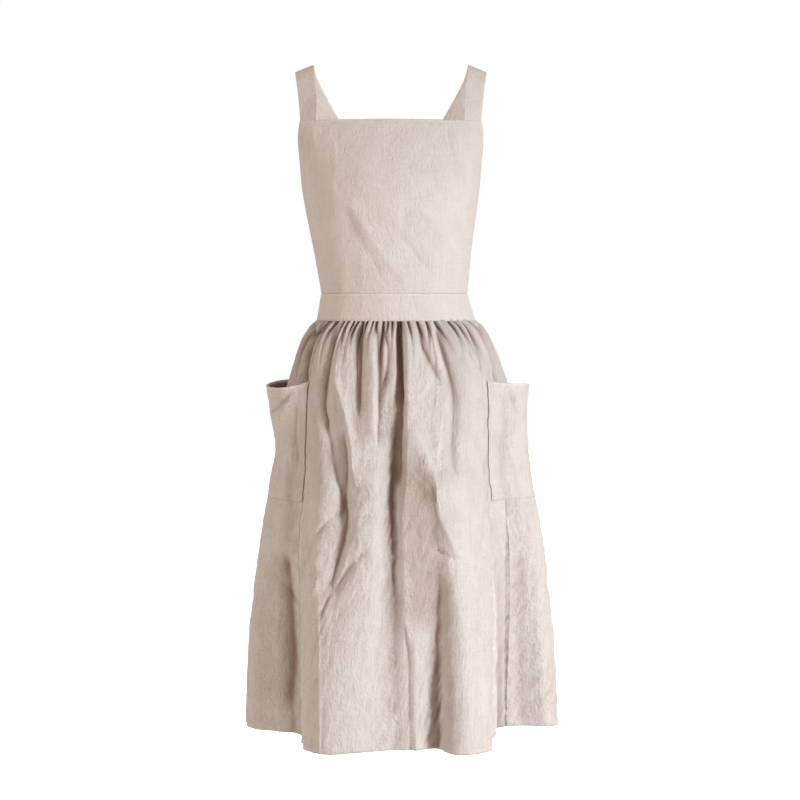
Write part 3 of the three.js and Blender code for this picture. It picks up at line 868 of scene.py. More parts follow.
# %% Folds of the skirt's upper half
UPPER_FOLDS = {
    "left_gather_hollow": fold(
        [(336, 326), (333, 345), (329, 365), (325, 385), (322, 405), (325, 425)],
        left=5, right=5, depth=-0.0115),
    "left_gather_ridge": fold(
        [(341, 335), (337, 355), (336, 375), (342, 395), (347, 412), (351, 430), (355, 452), (357, 475)],
        left=9, right=4.5, depth=0.009),
    "narrow_hollow": fold(
        [(362, 325), (361, 350), (360, 380), (359, 410)],
        left=6, right=3.5, depth=-0.009),
    "narrow_ridge": fold(
        [(372, 330), (374, 360), (374, 400), (374, 435)],
        left=9, right=4, depth=0.009),
    "narrow_ridge_foot": fold(
        [(376, 328), (377.5, 360), (378.5, 400), (378, 440)],
        left=1.3, right=3, depth=-0.009),
    "short_puff": fold([(384, 345), (383, 365)], left=5, right=4, depth=0.0045),
    "short_puff_hollow": fold(
        [(384, 330), (388, 350), (387, 370), (382, 392)],
        left=3, right=3, depth=-0.00675),
    "puff_beside_valley": fold([(393, 335), (395, 360), (393, 385)], left=5, right=3, depth=0.00525),
    "deep_valley": fold([(400.5, 322), (401, 360), (401.5, 400)], left=7, right=2.2, depth=-0.009),
    "deep_valley_edge": fold(
        [(401, 322), (401.5, 360), (402, 400), (401.5, 440), (400.5, 480)],
        left=6, right=1.4, depth=-0.005),
    "deep_valley_ridge": fold(
        [(406, 330), (407, 380), (407, 430), (406, 480), (404, 505)],
        left=1.8, right=18, depth=0.0075),
    "right_gather_hollow": fold(
        [(418, 328), (422, 346), (430, 362), (439, 379)],
        left=5, right=3, depth=-0.006),
    "right_gather_puff": fold([(432, 340), (438, 358), (444, 375)], left=5, right=4, depth=0.0045),
    "right_long_hollow": fold(
        [(437, 330), (443, 350), (450, 372), (455, 395), (456, 420), (454, 445), (455, 470)],
        left=6, right=3, depth=-0.009),
    "right_long_ridge": fold(
        [(450, 338), (457, 362), (461, 385), (460, 405)],
        left=4, right=10, depth=0.00525),
    "right_low_puff": fold([(446, 395), (442, 418), (437, 455)], left=5, right=4, depth=0.00375),
    "right_hip_crease": fold(
        [(466, 350), (473, 360), (480, 369)],
        left=2, right=2, depth=-0.0021, fade=6),
    "right_bent_crease": fold(
        [(455, 338), (461, 350), (456, 363)],
        left=2.5, right=2.5, depth=-0.0021, fade=6),
    "left_side_slit": fold(
        [(313, 330), (308, 350), (304, 370), (303, 384)],
        left=2.2, right=2.6, depth=-0.0168),
    "right_side_slit": fold(
        [(481, 332), (490, 347), (496, 365), (499, 385)],
        left=2.2, right=4, depth=-0.0168),
}
print(len(UPPER_FOLDS), "folds below the waistband")

# %% Folds of the skirt's lower half
LOWER_FOLDS = {
    "left_middle_hollow": fold(
        [(325, 425), (331, 445), (335, 470), (340, 495), (341, 515)],
        left=3, right=7, depth=-0.006),
    "left_long_crease": fold(
        [(345, 440), (347, 470), (344, 500), (346, 522), (342, 545), (337, 565), (331, 585)],
        left=6, right=3.5, depth=-0.00825),
    "left_broad_swell": fold(
        [(364, 440), (366, 500), (360, 560), (352, 640), (350, 750)],
        left=20, right=20, depth=0.005, soft=True),
    "slanting_ridge_top": fold(
        [(413, 431), (417, 440), (428, 468), (437, 497)],
        left=7, right=20, depth=0.0105),
    "slanting_ridge": fold(
        [(431, 478), (437, 497), (446, 525), (455, 556)],
        left=19, right=20, depth=0.0168),
    "slanting_ridge_line": fold(
        [(410, 472), (425, 489), (437, 511), (449, 536), (456, 557)],
        left=1.6, right=2, depth=0.00165),
    "slanting_ridge_end": fold(
        [(438, 549), (447, 554), (457, 559)],
        left=2.5, right=2.5, depth=-0.0045, fade=3),
    "low_right_ridge": fold(
        [(450, 562), (455, 590), (461, 620), (462.5, 680), (464, 757)],
        left=14.5, right=22, depth=0.0128),
    "low_right_hollow": fold([(440, 580), (438, 640), (438, 757)], left=12, right=5, depth=-0.003),
    "low_middle_hollow": fold(
        [(405, 632), (409, 655), (410, 700), (412, 757)],
        left=7, right=1.8, depth=-0.0055),
    "low_middle_ridge": fold([(414, 640), (415, 757)], left=2, right=14, depth=0.00375),
    "low_left_hollow": fold(
        [(284, 560), (288, 610), (291, 660), (289, 700), (292, 735)],
        left=14, right=7, depth=-0.0118),
    "low_left_swell": fold(
        [(262, 620), (258, 680), (256, 735)],
        left=6, right=12, depth=0.006, soft=True),
    "left_seam_ridge": fold([(303, 520), (303, 600), (304, 740)], left=2, right=3, depth=0.0027),
    "left_lobe": fold([(320, 600), (321, 660), (321, 757)], left=5, right=26, depth=0.006),
    "left_lobe_crease": fold([(322, 590), (323, 700), (323, 757)], left=2.5, right=3, depth=-0.0014),
    "right_seam_hollow": fold([(507, 505), (506, 600), (505, 725)], left=2, right=6, depth=-0.0045),
    "right_side_swell": fold(
        [(533, 520), (538, 620), (543, 720)],
        left=9, right=7, depth=0.0045, soft=True),
    "right_side_hollow": fold(
        [(519, 560), (520, 640), (522, 720)],
        left=8, right=8, depth=-0.0045, soft=True),
    "left_side_crease": fold(
        [(262, 563), (280, 586), (297, 606)],
        left=3, right=3, depth=-0.0036, fade=6),
    "left_curved_crease": fold(
        [(337, 514), (322, 527), (308, 553), (303, 575)],
        left=3, right=3, depth=-0.00375, fade=6),
    "left_low_crease": fold(
        [(366, 551), (345, 575), (330, 597), (322, 615)],
        left=3.5, right=3, depth=-0.00375, fade=8),
}
SKIRT_FOLDS = {**UPPER_FOLDS, **LOWER_FOLDS}
print(len(SKIRT_FOLDS), "folds of the skirt in all")

# %% [markdown]
# ## Shades
# Where a fold closes on itself the cloth is darker than its relief alone can show, and so is
# the cloth just behind a pocket's edge. These rows darken it, in the same kind of table.

# %% Shades of the skirt
SKIRT_SHADES = {
    "under_slanting_ridge": shade(
        [(406, 465), (410, 490), (415, 530), (419, 590), (419, 620)],
        left=13, right=15, dark=0.45, soft=True, fade=20),
    "deep_valley": shade(
        [(399.5, 322), (401.5, 345), (402.5, 372), (402.5, 405), (401.5, 440), (400, 478)],
        left=4.5, right=1.5, dark=0.62),
    "below_deep_valley": shade(
        [(396, 400), (392, 450), (389, 500), (387, 540)],
        left=10, right=9, dark=0.14, soft=True),
    "narrow_ridge_foot": shade([(379, 330), (380, 360), (380.5, 405)], left=2.2, right=2.4, dark=0.45),
    "short_gather": shade([(384.5, 322), (384.5, 334)], left=1.4, right=1.6, dark=0.5),
    "left_gather_hollow": shade(
        [(329, 330), (326, 352), (324, 380), (323, 410)],
        left=3.5, right=4, dark=0.3),
    "short_left_gather": shade([(354, 325), (353, 345)], left=2.5, right=2.5, dark=0.35),
    "narrow_hollow": shade([(362, 330), (361, 360), (360, 400)], left=5, right=5, dark=0.2, soft=True),
    "short_puff_hollow": shade([(389, 345), (388, 365), (384, 385)], left=3, right=2.5, dark=0.3),
    "right_long_hollow": shade(
        [(437, 330), (444, 350), (450, 370), (455, 395)],
        left=2.2, right=2, dark=0.3),
    "right_gather_hollow": shade([(417, 326), (422, 345), (431, 362)], left=2.4, right=2, dark=0.28),
    "left_side_slit": shade(
        [(316, 331), (311, 349), (308, 365), (307, 372), (305.5, 383)],
        left=3.4, right=0.8, dark=1.0),
    "left_band_corner": shade([(314, 324), (313.5, 336)], left=1.6, right=1.4, dark=0.6),
    "beside_left_slit": shade([(304, 345), (299, 362), (296, 380)], left=3, right=2.5, dark=0.3),
    "right_side_slit": shade(
        [(478, 327), (485.5, 341), (490.5, 355), (493.5, 368), (495.5, 382)],
        left=1, right=3.4, dark=0.8),
    "beside_right_slit": shade([(474, 350), (478, 359), (482, 368)], left=1.2, right=1.2, dark=0.3),
    "slanting_ridge": shade(
        [(408, 440), (421, 470), (432, 503), (443, 540)],
        left=12, right=4, dark=0.3, soft=True),
    "low_left_hollow": shade(
        [(284, 560), (288, 610), (291, 660), (289, 700)],
        left=11, right=5, dark=0.5, soft=True),
    "left_long_crease": shade(
        [(344, 500), (346, 522), (342, 545), (336, 568)],
        left=4, right=2.5, dark=0.25),
    "low_right_ridge": shade(
        [(447, 575), (450, 640), (453, 750)],
        left=9, right=7, dark=0.27, soft=True),
    "left_side": shade([(262, 590), (262, 660), (258, 725)], left=9, right=9, dark=0.12, soft=True),
    "left_middle_hollow": shade(
        [(318, 410), (317, 450), (321, 490)],
        left=7, right=6, dark=0.16, soft=True),
    "left_low_crease": shade([(333, 585), (326, 605), (320, 640)], left=4, right=3, dark=0.2),
    "under_left_pocket": shade(
        [(292, 482), (291, 505), (287, 545)],
        left=6, right=6, dark=0.3, soft=True),
}
print(len(SKIRT_SHADES), "shades")

# %% [markdown]
# ## The finished skirt surface
# All of it is added up here: the smooth skirt, the gathers, the drawn folds on the side that
# the picture shows, slow waves elsewhere, and the small crumple of washed cloth. The panels
# and the pockets both read this one surface, so they lie on each other.

# %% Parts of the surface
SIDE_DENT = 0.009
HEM_SPREAD = 1.1
SIDE_WAVE = 0.006
SMALL_SIDE_WAVE = 0.0025
POCKET_DROP = 0.095
POCKET_HEIGHT = 0.19
EDGE_SHADOW_WIDTH = 0.0018
SEAM_SHADOW = 0.12
LEFT_POCKET_SHADOW = 0.2
RIGHT_POCKET_SHADOW = 0.22
# Painted highlight: a paler line just inside each side seam.
SEAM_HIGHLIGHTS = {"left_seam": 0.55, "right_seam": 0.35}
HIGHLIGHT_LINE_IN = 0.0026
HIGHLIGHT_LINE_WIDTH = 0.0018


def back_folds(place, down):
    """Slow waves at the sides and back, where the picture doesn't reach."""
    waves = np.sin(2.1 * place + 0.6 * np.sin(0.9 * place)) * SIDE_WAVE
    waves = waves + np.sin(3.7 * place + 1.3) * SMALL_SIDE_WAVE
    return waves * ease(down, 0.05, 0.6)


def side_dent(column, row):
    """The left side falls in a little behind the pocket's lower half."""
    return -SIDE_DENT * np.exp(-(((row - 444) / 26) ** 2)) * np.exp(-(((column - 270) / 13) ** 2))


def beside_line(place, down, name):
    """Metres of cloth from a named line of the skirt, which spreads towards the hem."""
    return np.abs(top_distance(place) - top_distance(place_of(name))) * (1 + HEM_SPREAD * down)


def edge_shadows(place, down):
    """Thin shadows beside the left seam and the right pocket's front edge."""
    drop, pocket_end = down * SKIRT_LENGTH, POCKET_DROP + POCKET_HEIGHT
    along_pocket = ease(drop, POCKET_DROP - 0.002, POCKET_DROP + 0.002)
    along_pocket = along_pocket * (1 - ease(drop, pocket_end - 0.002, pocket_end + 0.002))
    amounts = {"left_seam": SEAM_SHADOW + LEFT_POCKET_SHADOW * along_pocket,
               "right_pocket_front": RIGHT_POCKET_SHADOW * along_pocket}
    return [amount * np.exp(-(beside_line(place, down, edge) / EDGE_SHADOW_WIDTH) ** 2)
            for edge, amount in amounts.items()]


def seam_highlights(place, down):
    """Paler lines over the turned cloth inside each side seam: painted highlight on its ridge."""
    highlight = np.zeros_like(place)
    for edge, amount in SEAM_HIGHLIGHTS.items():
        away = (beside_line(place, down, edge) - HIGHLIGHT_LINE_IN) / HIGHLIGHT_LINE_WIDTH
        highlight = highlight + amount * np.exp(-(away ** 2)) * ease(down * SKIRT_LENGTH, 0.05, 0.3)
    return highlight


print("the pockets end", round(POCKET_DROP + POCKET_HEIGHT, 3), "m below the waistband")

# %% The whole surface
BROAD_CRUMPLE = 0.0019
SMALL_CRUMPLE = 0.0014


def skirt_outward(place, down):
    """Level directions out of the smooth skirt."""
    step = 1e-3
    along = skirt_surface(np.minimum(place + step, gather_count), down)
    along = along - skirt_surface(np.maximum(place - step, 0), down)
    outward = np.stack([along[..., 1], -along[..., 0], np.zeros_like(down)], axis=-1)
    return outward / np.linalg.norm(outward, axis=-1, keepdims=True)


def skirt_detail(place, down):
    """Points, directions out of the cloth, painted shade and painted highlight of the skirt with all its
    folds.
    """
    base, outward = skirt_surface(place, down), skirt_outward(place, down)
    column, row = picture_place(base)
    facing = ease(-outward[..., 1], -0.05, 0.3)
    at, drop = top_distance(place) * (1 + HEM_SPREAD * down), down * SKIRT_LENGTH
    relief, dark = gather_relief(place, down)
    dark = dark + ease(-outward[..., 1], -0.3, 0) * fold_relief(SKIRT_SHADES, column, row)
    for shadow in edge_shadows(place, down):
        dark = dark + shadow
    relief = relief + facing * fold_relief(SKIRT_FOLDS, column, row) + side_dent(column, row)
    relief = relief + (1 - facing) * back_folds(place, down)
    settled = ease(drop, 0.01, 0.1)
    patches = 0.5 + 1.1 * noise(at / 0.09, drop / 0.12, 23)
    relief = relief + settled * patches * BROAD_CRUMPLE * crumple(at, drop * 0.8, 0.034, 11)
    relief = relief + settled * patches * SMALL_CRUMPLE * crumple(at, drop * 0.55, 0.0125, 31)
    return base + outward * relief[..., None], outward, dark, seam_highlights(place, down)


print("crumple", BROAD_CRUMPLE * 1000, "and", SMALL_CRUMPLE * 1000, "mm")

# %% [markdown]
# ## Skirt panels
# Three panels meet at the two side seams, with a hair of space between them. The top edge is
# tucked behind the waistband, and the hem is turned up and sewn, so the cloth is thicker there.

# %% The three panels
FRONT_COLUMNS = 240
SIDE_COLUMNS = 120
SKIRT_ROWS = 186
ROW_CROWDING = 1.2
HEM_TURN_UP = 0.012
HEM_STEP = 0.0005
HEM_GROOVE = 0.0004
HEM_THICKENING = 1.2
PUCKER = 0.0012
TUCK = 0.003
SEAM_HALF_GAP = 0.00015
skirt_rows = np.linspace(0, 1, SKIRT_ROWS + 1) ** ROW_CROWDING


def hem_relief(down):
    """The turned hem is thicker, with a small step at its top edge."""
    above = (1 - down) * SKIRT_LENGTH
    step = HEM_STEP * (1 - ease(above, HEM_TURN_UP - 0.0015, HEM_TURN_UP + 0.0015))
    return step - HEM_GROOVE * np.exp(-((above - HEM_TURN_UP + 0.002) / 0.0015) ** 2)


def make_skirt_panel(node, start, end, columns):
    places = np.linspace(place_of(start), place_of(end), columns + 1)
    place, down = np.meshgrid(places, skirt_rows)
    points, outward, dark, highlight = skirt_detail(place, down)
    above = (1 - down) * SKIRT_LENGTH
    pucker = PUCKER * (noise(top_distance(place) / 0.0026, above / 0.02, 83) - 0.5) * np.exp(-above / 0.014)
    points = points + outward * (hem_relief(down) + pucker)[..., None]
    side = np.cross(grid_normals(points), np.array([0, 0, 1.0]))
    points[:, 0] -= side[:, 0] * SEAM_HALF_GAP
    points[:, -1] += side[:, -1] * SEAM_HALF_GAP
    tucked = points[:1] - TUCK * outward[:1] + np.array([0, 0, TUCK])
    points, above, dark, highlight = (np.concatenate([top, grid]) for top, grid in (
        (tucked, points), (above[:1], above), (dark[:1], dark), (highlight[:1], highlight)))
    wall = CLOTH_WALL * (1 + HEM_THICKENING * (above < HEM_TURN_UP))
    return make_sheet(node, points, wall, linen["skirt"], shift=top_distance(places[0]),
                      shade=dark, painted_highlight=highlight)


skirt = {
    "skirt_left": make_skirt_panel("skirt_left", "left_edge", "left_seam", SIDE_COLUMNS),
    "skirt_front": make_skirt_panel("skirt_front", "left_seam", "right_seam", FRONT_COLUMNS),
    "skirt_right": make_skirt_panel("skirt_right", "right_seam", "right_edge", SIDE_COLUMNS),
}

# %% [markdown]
# ## Pockets
# Each pocket is a straight patch sewn over the side seam along its front edge, its back edge
# and its bottom. Its mouth is wider than the skirt under it, so it stands open. The patch lies
# on the same base as the skirt, with its own gentler folds. Its inside is painted dark, a painted
# shade for the dark mouth that the picture shows, and its rim and piped edge are painted paler, a
# painted highlight where they catch the light.
# Its crumple and edges are placed with a nominal width, and the cell prints the real ones.

# %% Folds of the pockets
POCKET_FOLDS = {
    "left_rim_crease": fold(
        [(299, 387), (292, 399), (284, 408)],
        left=2.6, right=2.2, depth=-0.0034, fade=5),
    "left_rim_swell": fold([(297, 396), (290, 413), (286, 430)], left=5, right=2.6, depth=0.0034),
    "left_middle_crease": fold(
        [(286, 434), (288, 452), (289, 468)],
        left=2.2, right=2.6, depth=-0.0026),
    "left_front_hollow": fold(
        [(300.5, 398), (298, 430), (299.5, 480), (299, 500)],
        left=4, right=2.6, depth=-0.0034),
    "left_front_swell": fold([(295, 430), (294, 455), (291, 480)], left=3, right=3, depth=0.0022),
    "left_slanting_crease": fold(
        [(273, 412), (278, 428), (280, 444)],
        left=3, right=3.5, depth=-0.0032),
    "left_low_crease": fold([(279, 470), (275, 488)], left=2.4, right=2.6, depth=-0.0026, fade=6),
    "left_low_hollow": fold([(292, 470), (290, 502)], left=5, right=4, depth=-0.0034),
    "right_rim_crease": fold(
        [(500, 388), (503, 399), (508, 411)],
        left=1.8, right=2, depth=-0.0018, fade=4),
    "right_front_swell": fold([(505, 392), (510, 420), (508, 455)], left=5, right=7, depth=0.0026),
    "right_broad_hollow": fold(
        [(512, 400), (518, 425), (516, 460)],
        left=7, right=7, depth=-0.0018, soft=True),
    "right_low_crease": fold([(526, 440), (520, 470), (515, 498)], left=4, right=5, depth=-0.0026),
    "right_front_hollow": fold([(498, 445), (500, 470), (499, 498)], left=4, right=5, depth=-0.0016),
}
POCKET_SHADES = {
    "left_rim_crease": shade(
        [(299, 387), (292, 399), (284, 408)],
        left=1.6, right=1.4, dark=0.3, fade=5),
    "left_front_hollow": shade(
        [(298.5, 398), (297, 430), (298, 470)],
        left=5, right=2, dark=0.22, soft=True),
    "left_low_hollow": shade([(291, 470), (289, 502)], left=5, right=5, dark=0.35, soft=True),
    "right_rim_crease": shade(
        [(500, 388), (503, 399), (508, 411)],
        left=1.2, right=1.4, dark=0.2, fade=4),
    "left_front_edge": shade([(304.2, 384), (302.6, 440), (302.6, 500)], left=1.2, right=1, dark=0.25),
}
print(len(POCKET_FOLDS), "folds and", len(POCKET_SHADES), "shades of the pockets")

# %% The two pockets
POCKET_GAPE = 0.034
POCKET_HEM = 0.02
POCKET_NOMINAL_WIDTH = 0.2
POCKET_SAG = {"pocket_left": 0.011, "pocket_right": 0.005}
BACK_RIM_DROP = {"pocket_left": 0, "pocket_right": 0.008}
POCKET_COLUMNS = 110
POCKET_ROWS = 90
POCKET_LIFT = 0.0012
POCKET_CLEARANCE = 0.0015
SEWN_REACH = 0.05
PIPING = 0.001
PIPING_IN = 0.0015
PIPING_WIDTH = 0.0013
RIM_ROLL = 0.0008
RIM_ROLL_WIDTH = 0.0018
POCKET_HEM_STEP = 0.0005
POCKET_CRUMPLE = 0.0008
POCKET_FINE_CRUMPLE = 0.0004
pocket_top_share = POCKET_DROP / SKIRT_LENGTH
pocket_bottom_share = (POCKET_DROP + POCKET_HEIGHT) / SKIRT_LENGTH


def pocket_edges(drop, from_edge):
    """Piping along the sewn edges, the rolled rim and the step of the rim's hem."""
    piping = PIPING * np.exp(-((from_edge - PIPING_IN) / PIPING_WIDTH) ** 2)
    rim = RIM_ROLL * np.exp(-(drop / RIM_ROLL_WIDTH) ** 2)
    return piping, rim, POCKET_HEM_STEP * ease(POCKET_HEM - drop, -0.001, 0.001)


def make_pocket(node, start, end, seed):
    low_place, high_place = place_of(start), place_of(end)
    spread = (1 - np.cos(math.pi * np.linspace(0, 1, POCKET_COLUMNS + 1))) / 2
    places = low_place + (high_place - low_place) * spread
    downs = np.linspace(pocket_top_share, pocket_bottom_share, POCKET_ROWS + 1)
    place, down = np.meshgrid(places, downs)
    under, outward, _, _ = skirt_detail(place, down)
    across = (place - low_place) / (high_place - low_place)
    low = (down - pocket_top_share) / (pocket_bottom_share - pocket_top_share)
    gape = POCKET_GAPE * np.sin(math.pi * across) * (1 - low) ** 2
    smooth = skirt_surface(place, down) + outward * POCKET_CLEARANCE
    sewn = np.exp(-np.minimum(across, 1 - across) / SEWN_REACH) + np.exp(-(1 - low) / SEWN_REACH)
    sewn = np.clip(sewn, 0, 1)
    base = under * sewn[..., None] + smooth * (1 - sewn[..., None])
    column, row = picture_place(base)
    facing = ease(-outward[..., 1], 0.0, 0.3)
    relief = facing * fold_relief(POCKET_FOLDS, column, row) + side_dent(column, row)
    along, drop = across * POCKET_NOMINAL_WIDTH, low * POCKET_HEIGHT
    relief = relief + POCKET_CRUMPLE * crumple(along, drop, 0.03, seed)
    relief = relief + POCKET_FINE_CRUMPLE * crumple(along, drop, 0.012, seed + 9)
    relief = relief * (1 - sewn) + POCKET_LIFT + gape
    from_edge = np.minimum(across, 1 - across) * POCKET_NOMINAL_WIDTH
    for part in pocket_edges(drop, from_edge):
        relief = relief + part
    points = base + outward * relief[..., None]
    forward = across if node == "pocket_left" else 1 - across
    points[..., 2] -= BACK_RIM_DROP[node] * ease(across, 0.4, 0.75) * (1 - low) ** 3
    points[..., 2] -= POCKET_SAG[node] * np.sin(math.pi * forward ** 1.7) * (1 - low) ** 2
    wall = CLOTH_WALL * (1 + (drop < POCKET_HEM))
    # Painted highlight along the rim and the piped edges.
    highlight = np.exp(-(drop / 0.002) ** 2) + 0.7 * np.exp(-((from_edge - 0.001) / 0.0016) ** 2)
    # The inside value paints shade on the pocket's inner face, all but near the rim and the edges.
    return make_sheet(node, points, wall, linen["pocket"], shift=seed * 0.1,
                      shade=facing * fold_relief(POCKET_SHADES, column, row),
                      inside=ease(np.minimum(from_edge, drop), 0.001, 0.006), painted_highlight=highlight)


pockets = {
    "pocket_left": make_pocket("pocket_left", "left_pocket_back", "left_seam", 51),
    "pocket_right": make_pocket("pocket_right", "right_pocket_front", "right_pocket_back", 71),
}

# %% [markdown]
# ## Bib
# The bib is one flat piece bent round the chest. Its sides and top are turned in and sewn, and
# the straps behind it press two faint upright lines through the cloth. The table gives, at a
# few shares of the way down, how wide and deep the bib's oval is as shares of the chest's, how
# far its sides reach round, and how far it has narrowed to the waistband's own oval.
# Crumple, hem and stitches are placed with one nominal half width for every row. The finished
# sheet isn't that: half way down it is about 20 cm to each side, which its cell prints.

# %% Sections and folds of the bib
BIB_HEIGHT = 0.27
BIB_WIDTH = 0.286
BIB_SIDE_TURN = math.radians(97)
CHEST_WIDTH = 0.282
CHEST_FRONT = 0.117
BIB_DOWN = [0, 0.2, 0.42, 0.72, 1]
BIB_WIDE = [1.18, 1.05, 1, 1, 1]
BIB_FRONT = [0.68, 0.86, 1, 1, 1]
BIB_SIDE = [0, 0.5, 0.78, 0.93, 1]
BIB_WAIST = [0, 0, 0.03, 0.58, 1]
BIB_FOLDS = {
    "slanting_ridge": fold(
        [(352, 205), (366, 230), (382, 254), (405, 283)],
        left=6, right=8, depth=0.00269),
    "slanting_hollow": fold([(348, 215), (362, 243), (378, 268)], left=6, right=4, depth=-0.00167),
    "middle_hollow": fold([(402, 236), (415, 253), (430, 270)], left=6, right=4, depth=-0.00251),
    "right_slanting_ridge": fold([(424, 208), (444, 236), (462, 263)], left=9, right=7, depth=0.00251),
    "middle_dip": fold(
        [(407, 194), (408, 208), (407, 224)],
        left=8, right=8, depth=-0.00145, soft=True),
    "left_strap_line": fold([(337.5, 126), (338, 150), (336, 182)], left=2.2, right=2.2, depth=-0.0008),
    "left_edge_ridge": fold([(313, 122), (314, 160), (314, 200)], left=3, right=4, depth=0.0008),
    "left_edge_hollow": fold([(308, 140), (309, 158), (308, 176)], left=2.5, right=2.5, depth=-0.00101),
    "left_strap_ridge": fold([(326, 124), (334, 146), (337, 176)], left=4, right=3, depth=0.001),
    "left_dip": fold([(322, 184), (324, 200), (322, 215)], left=4, right=4, depth=-0.00145, soft=True),
    "right_strap_ridge": fold([(459, 122), (459, 150), (462, 176)], left=3.5, right=2, depth=0.00134),
    "right_strap_hollow": fold([(447, 124), (452, 150), (459, 172)], left=4, right=4, depth=-0.00134),
    "right_edge_ridge": fold([(471, 135), (472, 165), (472, 200)], left=3, right=2, depth=0.00078),
    "left_low_dip": fold(
        [(349, 222), (352, 255), (354, 290)],
        left=7, right=6, depth=-0.0013, soft=True),
    "top_dip": fold([(385, 125), (387, 160), (390, 190)], left=14, right=14, depth=-0.00156, soft=True),
}
bib_top_half = CHEST_WIDTH / 2 * BIB_WIDE[0]
bib_top_turn = math.asin(BIB_WIDTH / 2 / bib_top_half)
print("the bib's top turns", round(math.degrees(bib_top_turn)), "degrees to each side")

# %% The bib
BIB_COLUMNS = 170
BIB_ROWS = 140
BIB_HEM = 0.012
BIB_NOMINAL_HALF = 0.16
BIB_CRUMPLE = 0.0006
BIB_FINE_CRUMPLE = 0.00022
BIB_HEM_STEP = 0.0005
BIB_SEAM_PULL = 0.0006
BIB_TUCK = 0.0028


def bib_size(down):
    waist = through(BIB_DOWN, BIB_WAIST, down)
    half, front, back = band_size(band_top)
    chest_half = CHEST_WIDTH / 2 * through(BIB_DOWN, BIB_WIDE, down)
    chest_front = CHEST_FRONT * through(BIB_DOWN, BIB_FRONT, down)
    return chest_half + (half - chest_half) * waist, chest_front + (front - chest_front) * waist, back


def bib_surface(across, down):
    """The smooth bib: across runs from -1 to 1 and down from 0 to 1."""
    turn = across * (bib_top_turn + (BIB_SIDE_TURN - bib_top_turn) * through(BIB_DOWN, BIB_SIDE, down))
    half, front, back = bib_size(down)
    return oval(half, front, back, turn, bib_top - down * BIB_HEIGHT)


def make_bib():
    across, down = np.meshgrid(np.linspace(-1, 1, BIB_COLUMNS + 1), np.linspace(0, 1, BIB_ROWS + 1))
    base = bib_surface(across, down)
    outward = grid_normals(base)
    column, row = picture_place(base)
    along, drop = across * BIB_NOMINAL_HALF, down * BIB_HEIGHT
    relief = fold_relief(BIB_FOLDS, column, row) * ease(-outward[..., 1], 0, 0.25)
    relief = relief + BIB_CRUMPLE * crumple(along, drop, 0.04, 91)
    relief = relief + BIB_FINE_CRUMPLE * crumple(along, drop, 0.012, 95)
    edge = np.minimum((1 - np.abs(across)) * BIB_NOMINAL_HALF, drop)
    relief = relief * ease(edge, 0, 0.02)
    relief = relief + BIB_HEM_STEP * (1 - ease(edge, BIB_HEM - 0.001, BIB_HEM + 0.001))
    relief = relief - BIB_SEAM_PULL * np.exp(-((1 - down) * BIB_HEIGHT / 0.003))
    points = base + outward * relief[..., None]
    tucked = points[-1:] - BIB_TUCK * outward[-1:] - np.array([0, 0, TUCK])
    points, edge = np.concatenate([points, tucked]), np.concatenate([edge, edge[-1:]])
    # Painted highlight along the bib's turned edges.
    highlight = 0.8 * np.exp(-((edge / 0.0018) ** 2))
    wall = CLOTH_WALL * (1 + (edge < BIB_HEM))
    return make_sheet("bib", points, wall, linen["bib"], shift=3.0, painted_highlight=highlight)


bib = make_bib()

# %% [markdown]
# ## Waistband
# A folded band, so it is thicker than the rest, with rounded edges where the cloth turns. The
# seam at its foot draws the cloth into tiny puckers between the stitches.

# %% The waistband
BAND_WALL = 0.0024
BAND_COLUMNS = 420
BAND_ROWS = 30
BAND_RADIUS = 0.11
BAND_ROUNDING = 0.0011
BAND_PUCKER = 0.0004
PUCKER_STEP = 0.006
BAND_RIDGE = 0.0004
BAND_RIDGE_IN = 0.004
BAND_LIFT = 0.0004
BAND_CRUMPLE = 0.0005


def make_band():
    turns = np.linspace(-band_end_turn, band_end_turn, BAND_COLUMNS + 1)
    turn, low = np.meshgrid(turns, np.linspace(0, 1, BAND_ROWS + 1))
    z, drop = band_top - low * BAND_HEIGHT, low * BAND_HEIGHT
    base = oval(*band_size(z), turn, z)
    outward = grid_normals(base)
    along = turn * BAND_RADIUS
    edge = np.minimum(low, 1 - low) * BAND_HEIGHT
    rounded = -BAND_ROUNDING * np.exp(-edge / 0.0016)
    pucker = np.sin(along * 2 * math.pi / PUCKER_STEP) * np.exp(-(1 - low) * BAND_HEIGHT / 0.006)
    ridge = BAND_RIDGE * np.exp(-((drop - BAND_RIDGE_IN) / 0.0015) ** 2)
    relief = rounded + BAND_PUCKER * pucker + ridge + BAND_LIFT
    relief = relief + BAND_CRUMPLE * crumple(along, drop, 0.022, 121)
    points = base + outward * relief[..., None]
    # Painted highlight just below the band's folded top edge.
    highlight = 0.7 * np.exp(-((drop - 0.002) / 0.0013) ** 2)
    return make_sheet("waistband", points, BAND_WALL, linen["band"], shift=5.0, painted_highlight=highlight)


band = make_band()

# %% [markdown]
# ## Straps
# Each strap is a long folded band. It leaves the inside of the bib, goes over the shoulder,
# crosses the other at the back and is sewn inside the far end of the waistband. A table holds
# the points of its route and the way its face looks at each, and a smooth curve runs through
# both, so the strap turns over the shoulder without a kink.
# A row of the route is x, y and z of a point as shares of half the spread, of the back's depth
# and of the waistband's depth below the shoulders, and then the x, y and z of the direction
# that the face looks in. A row of the landing is a share of half the spread, and of the tail.

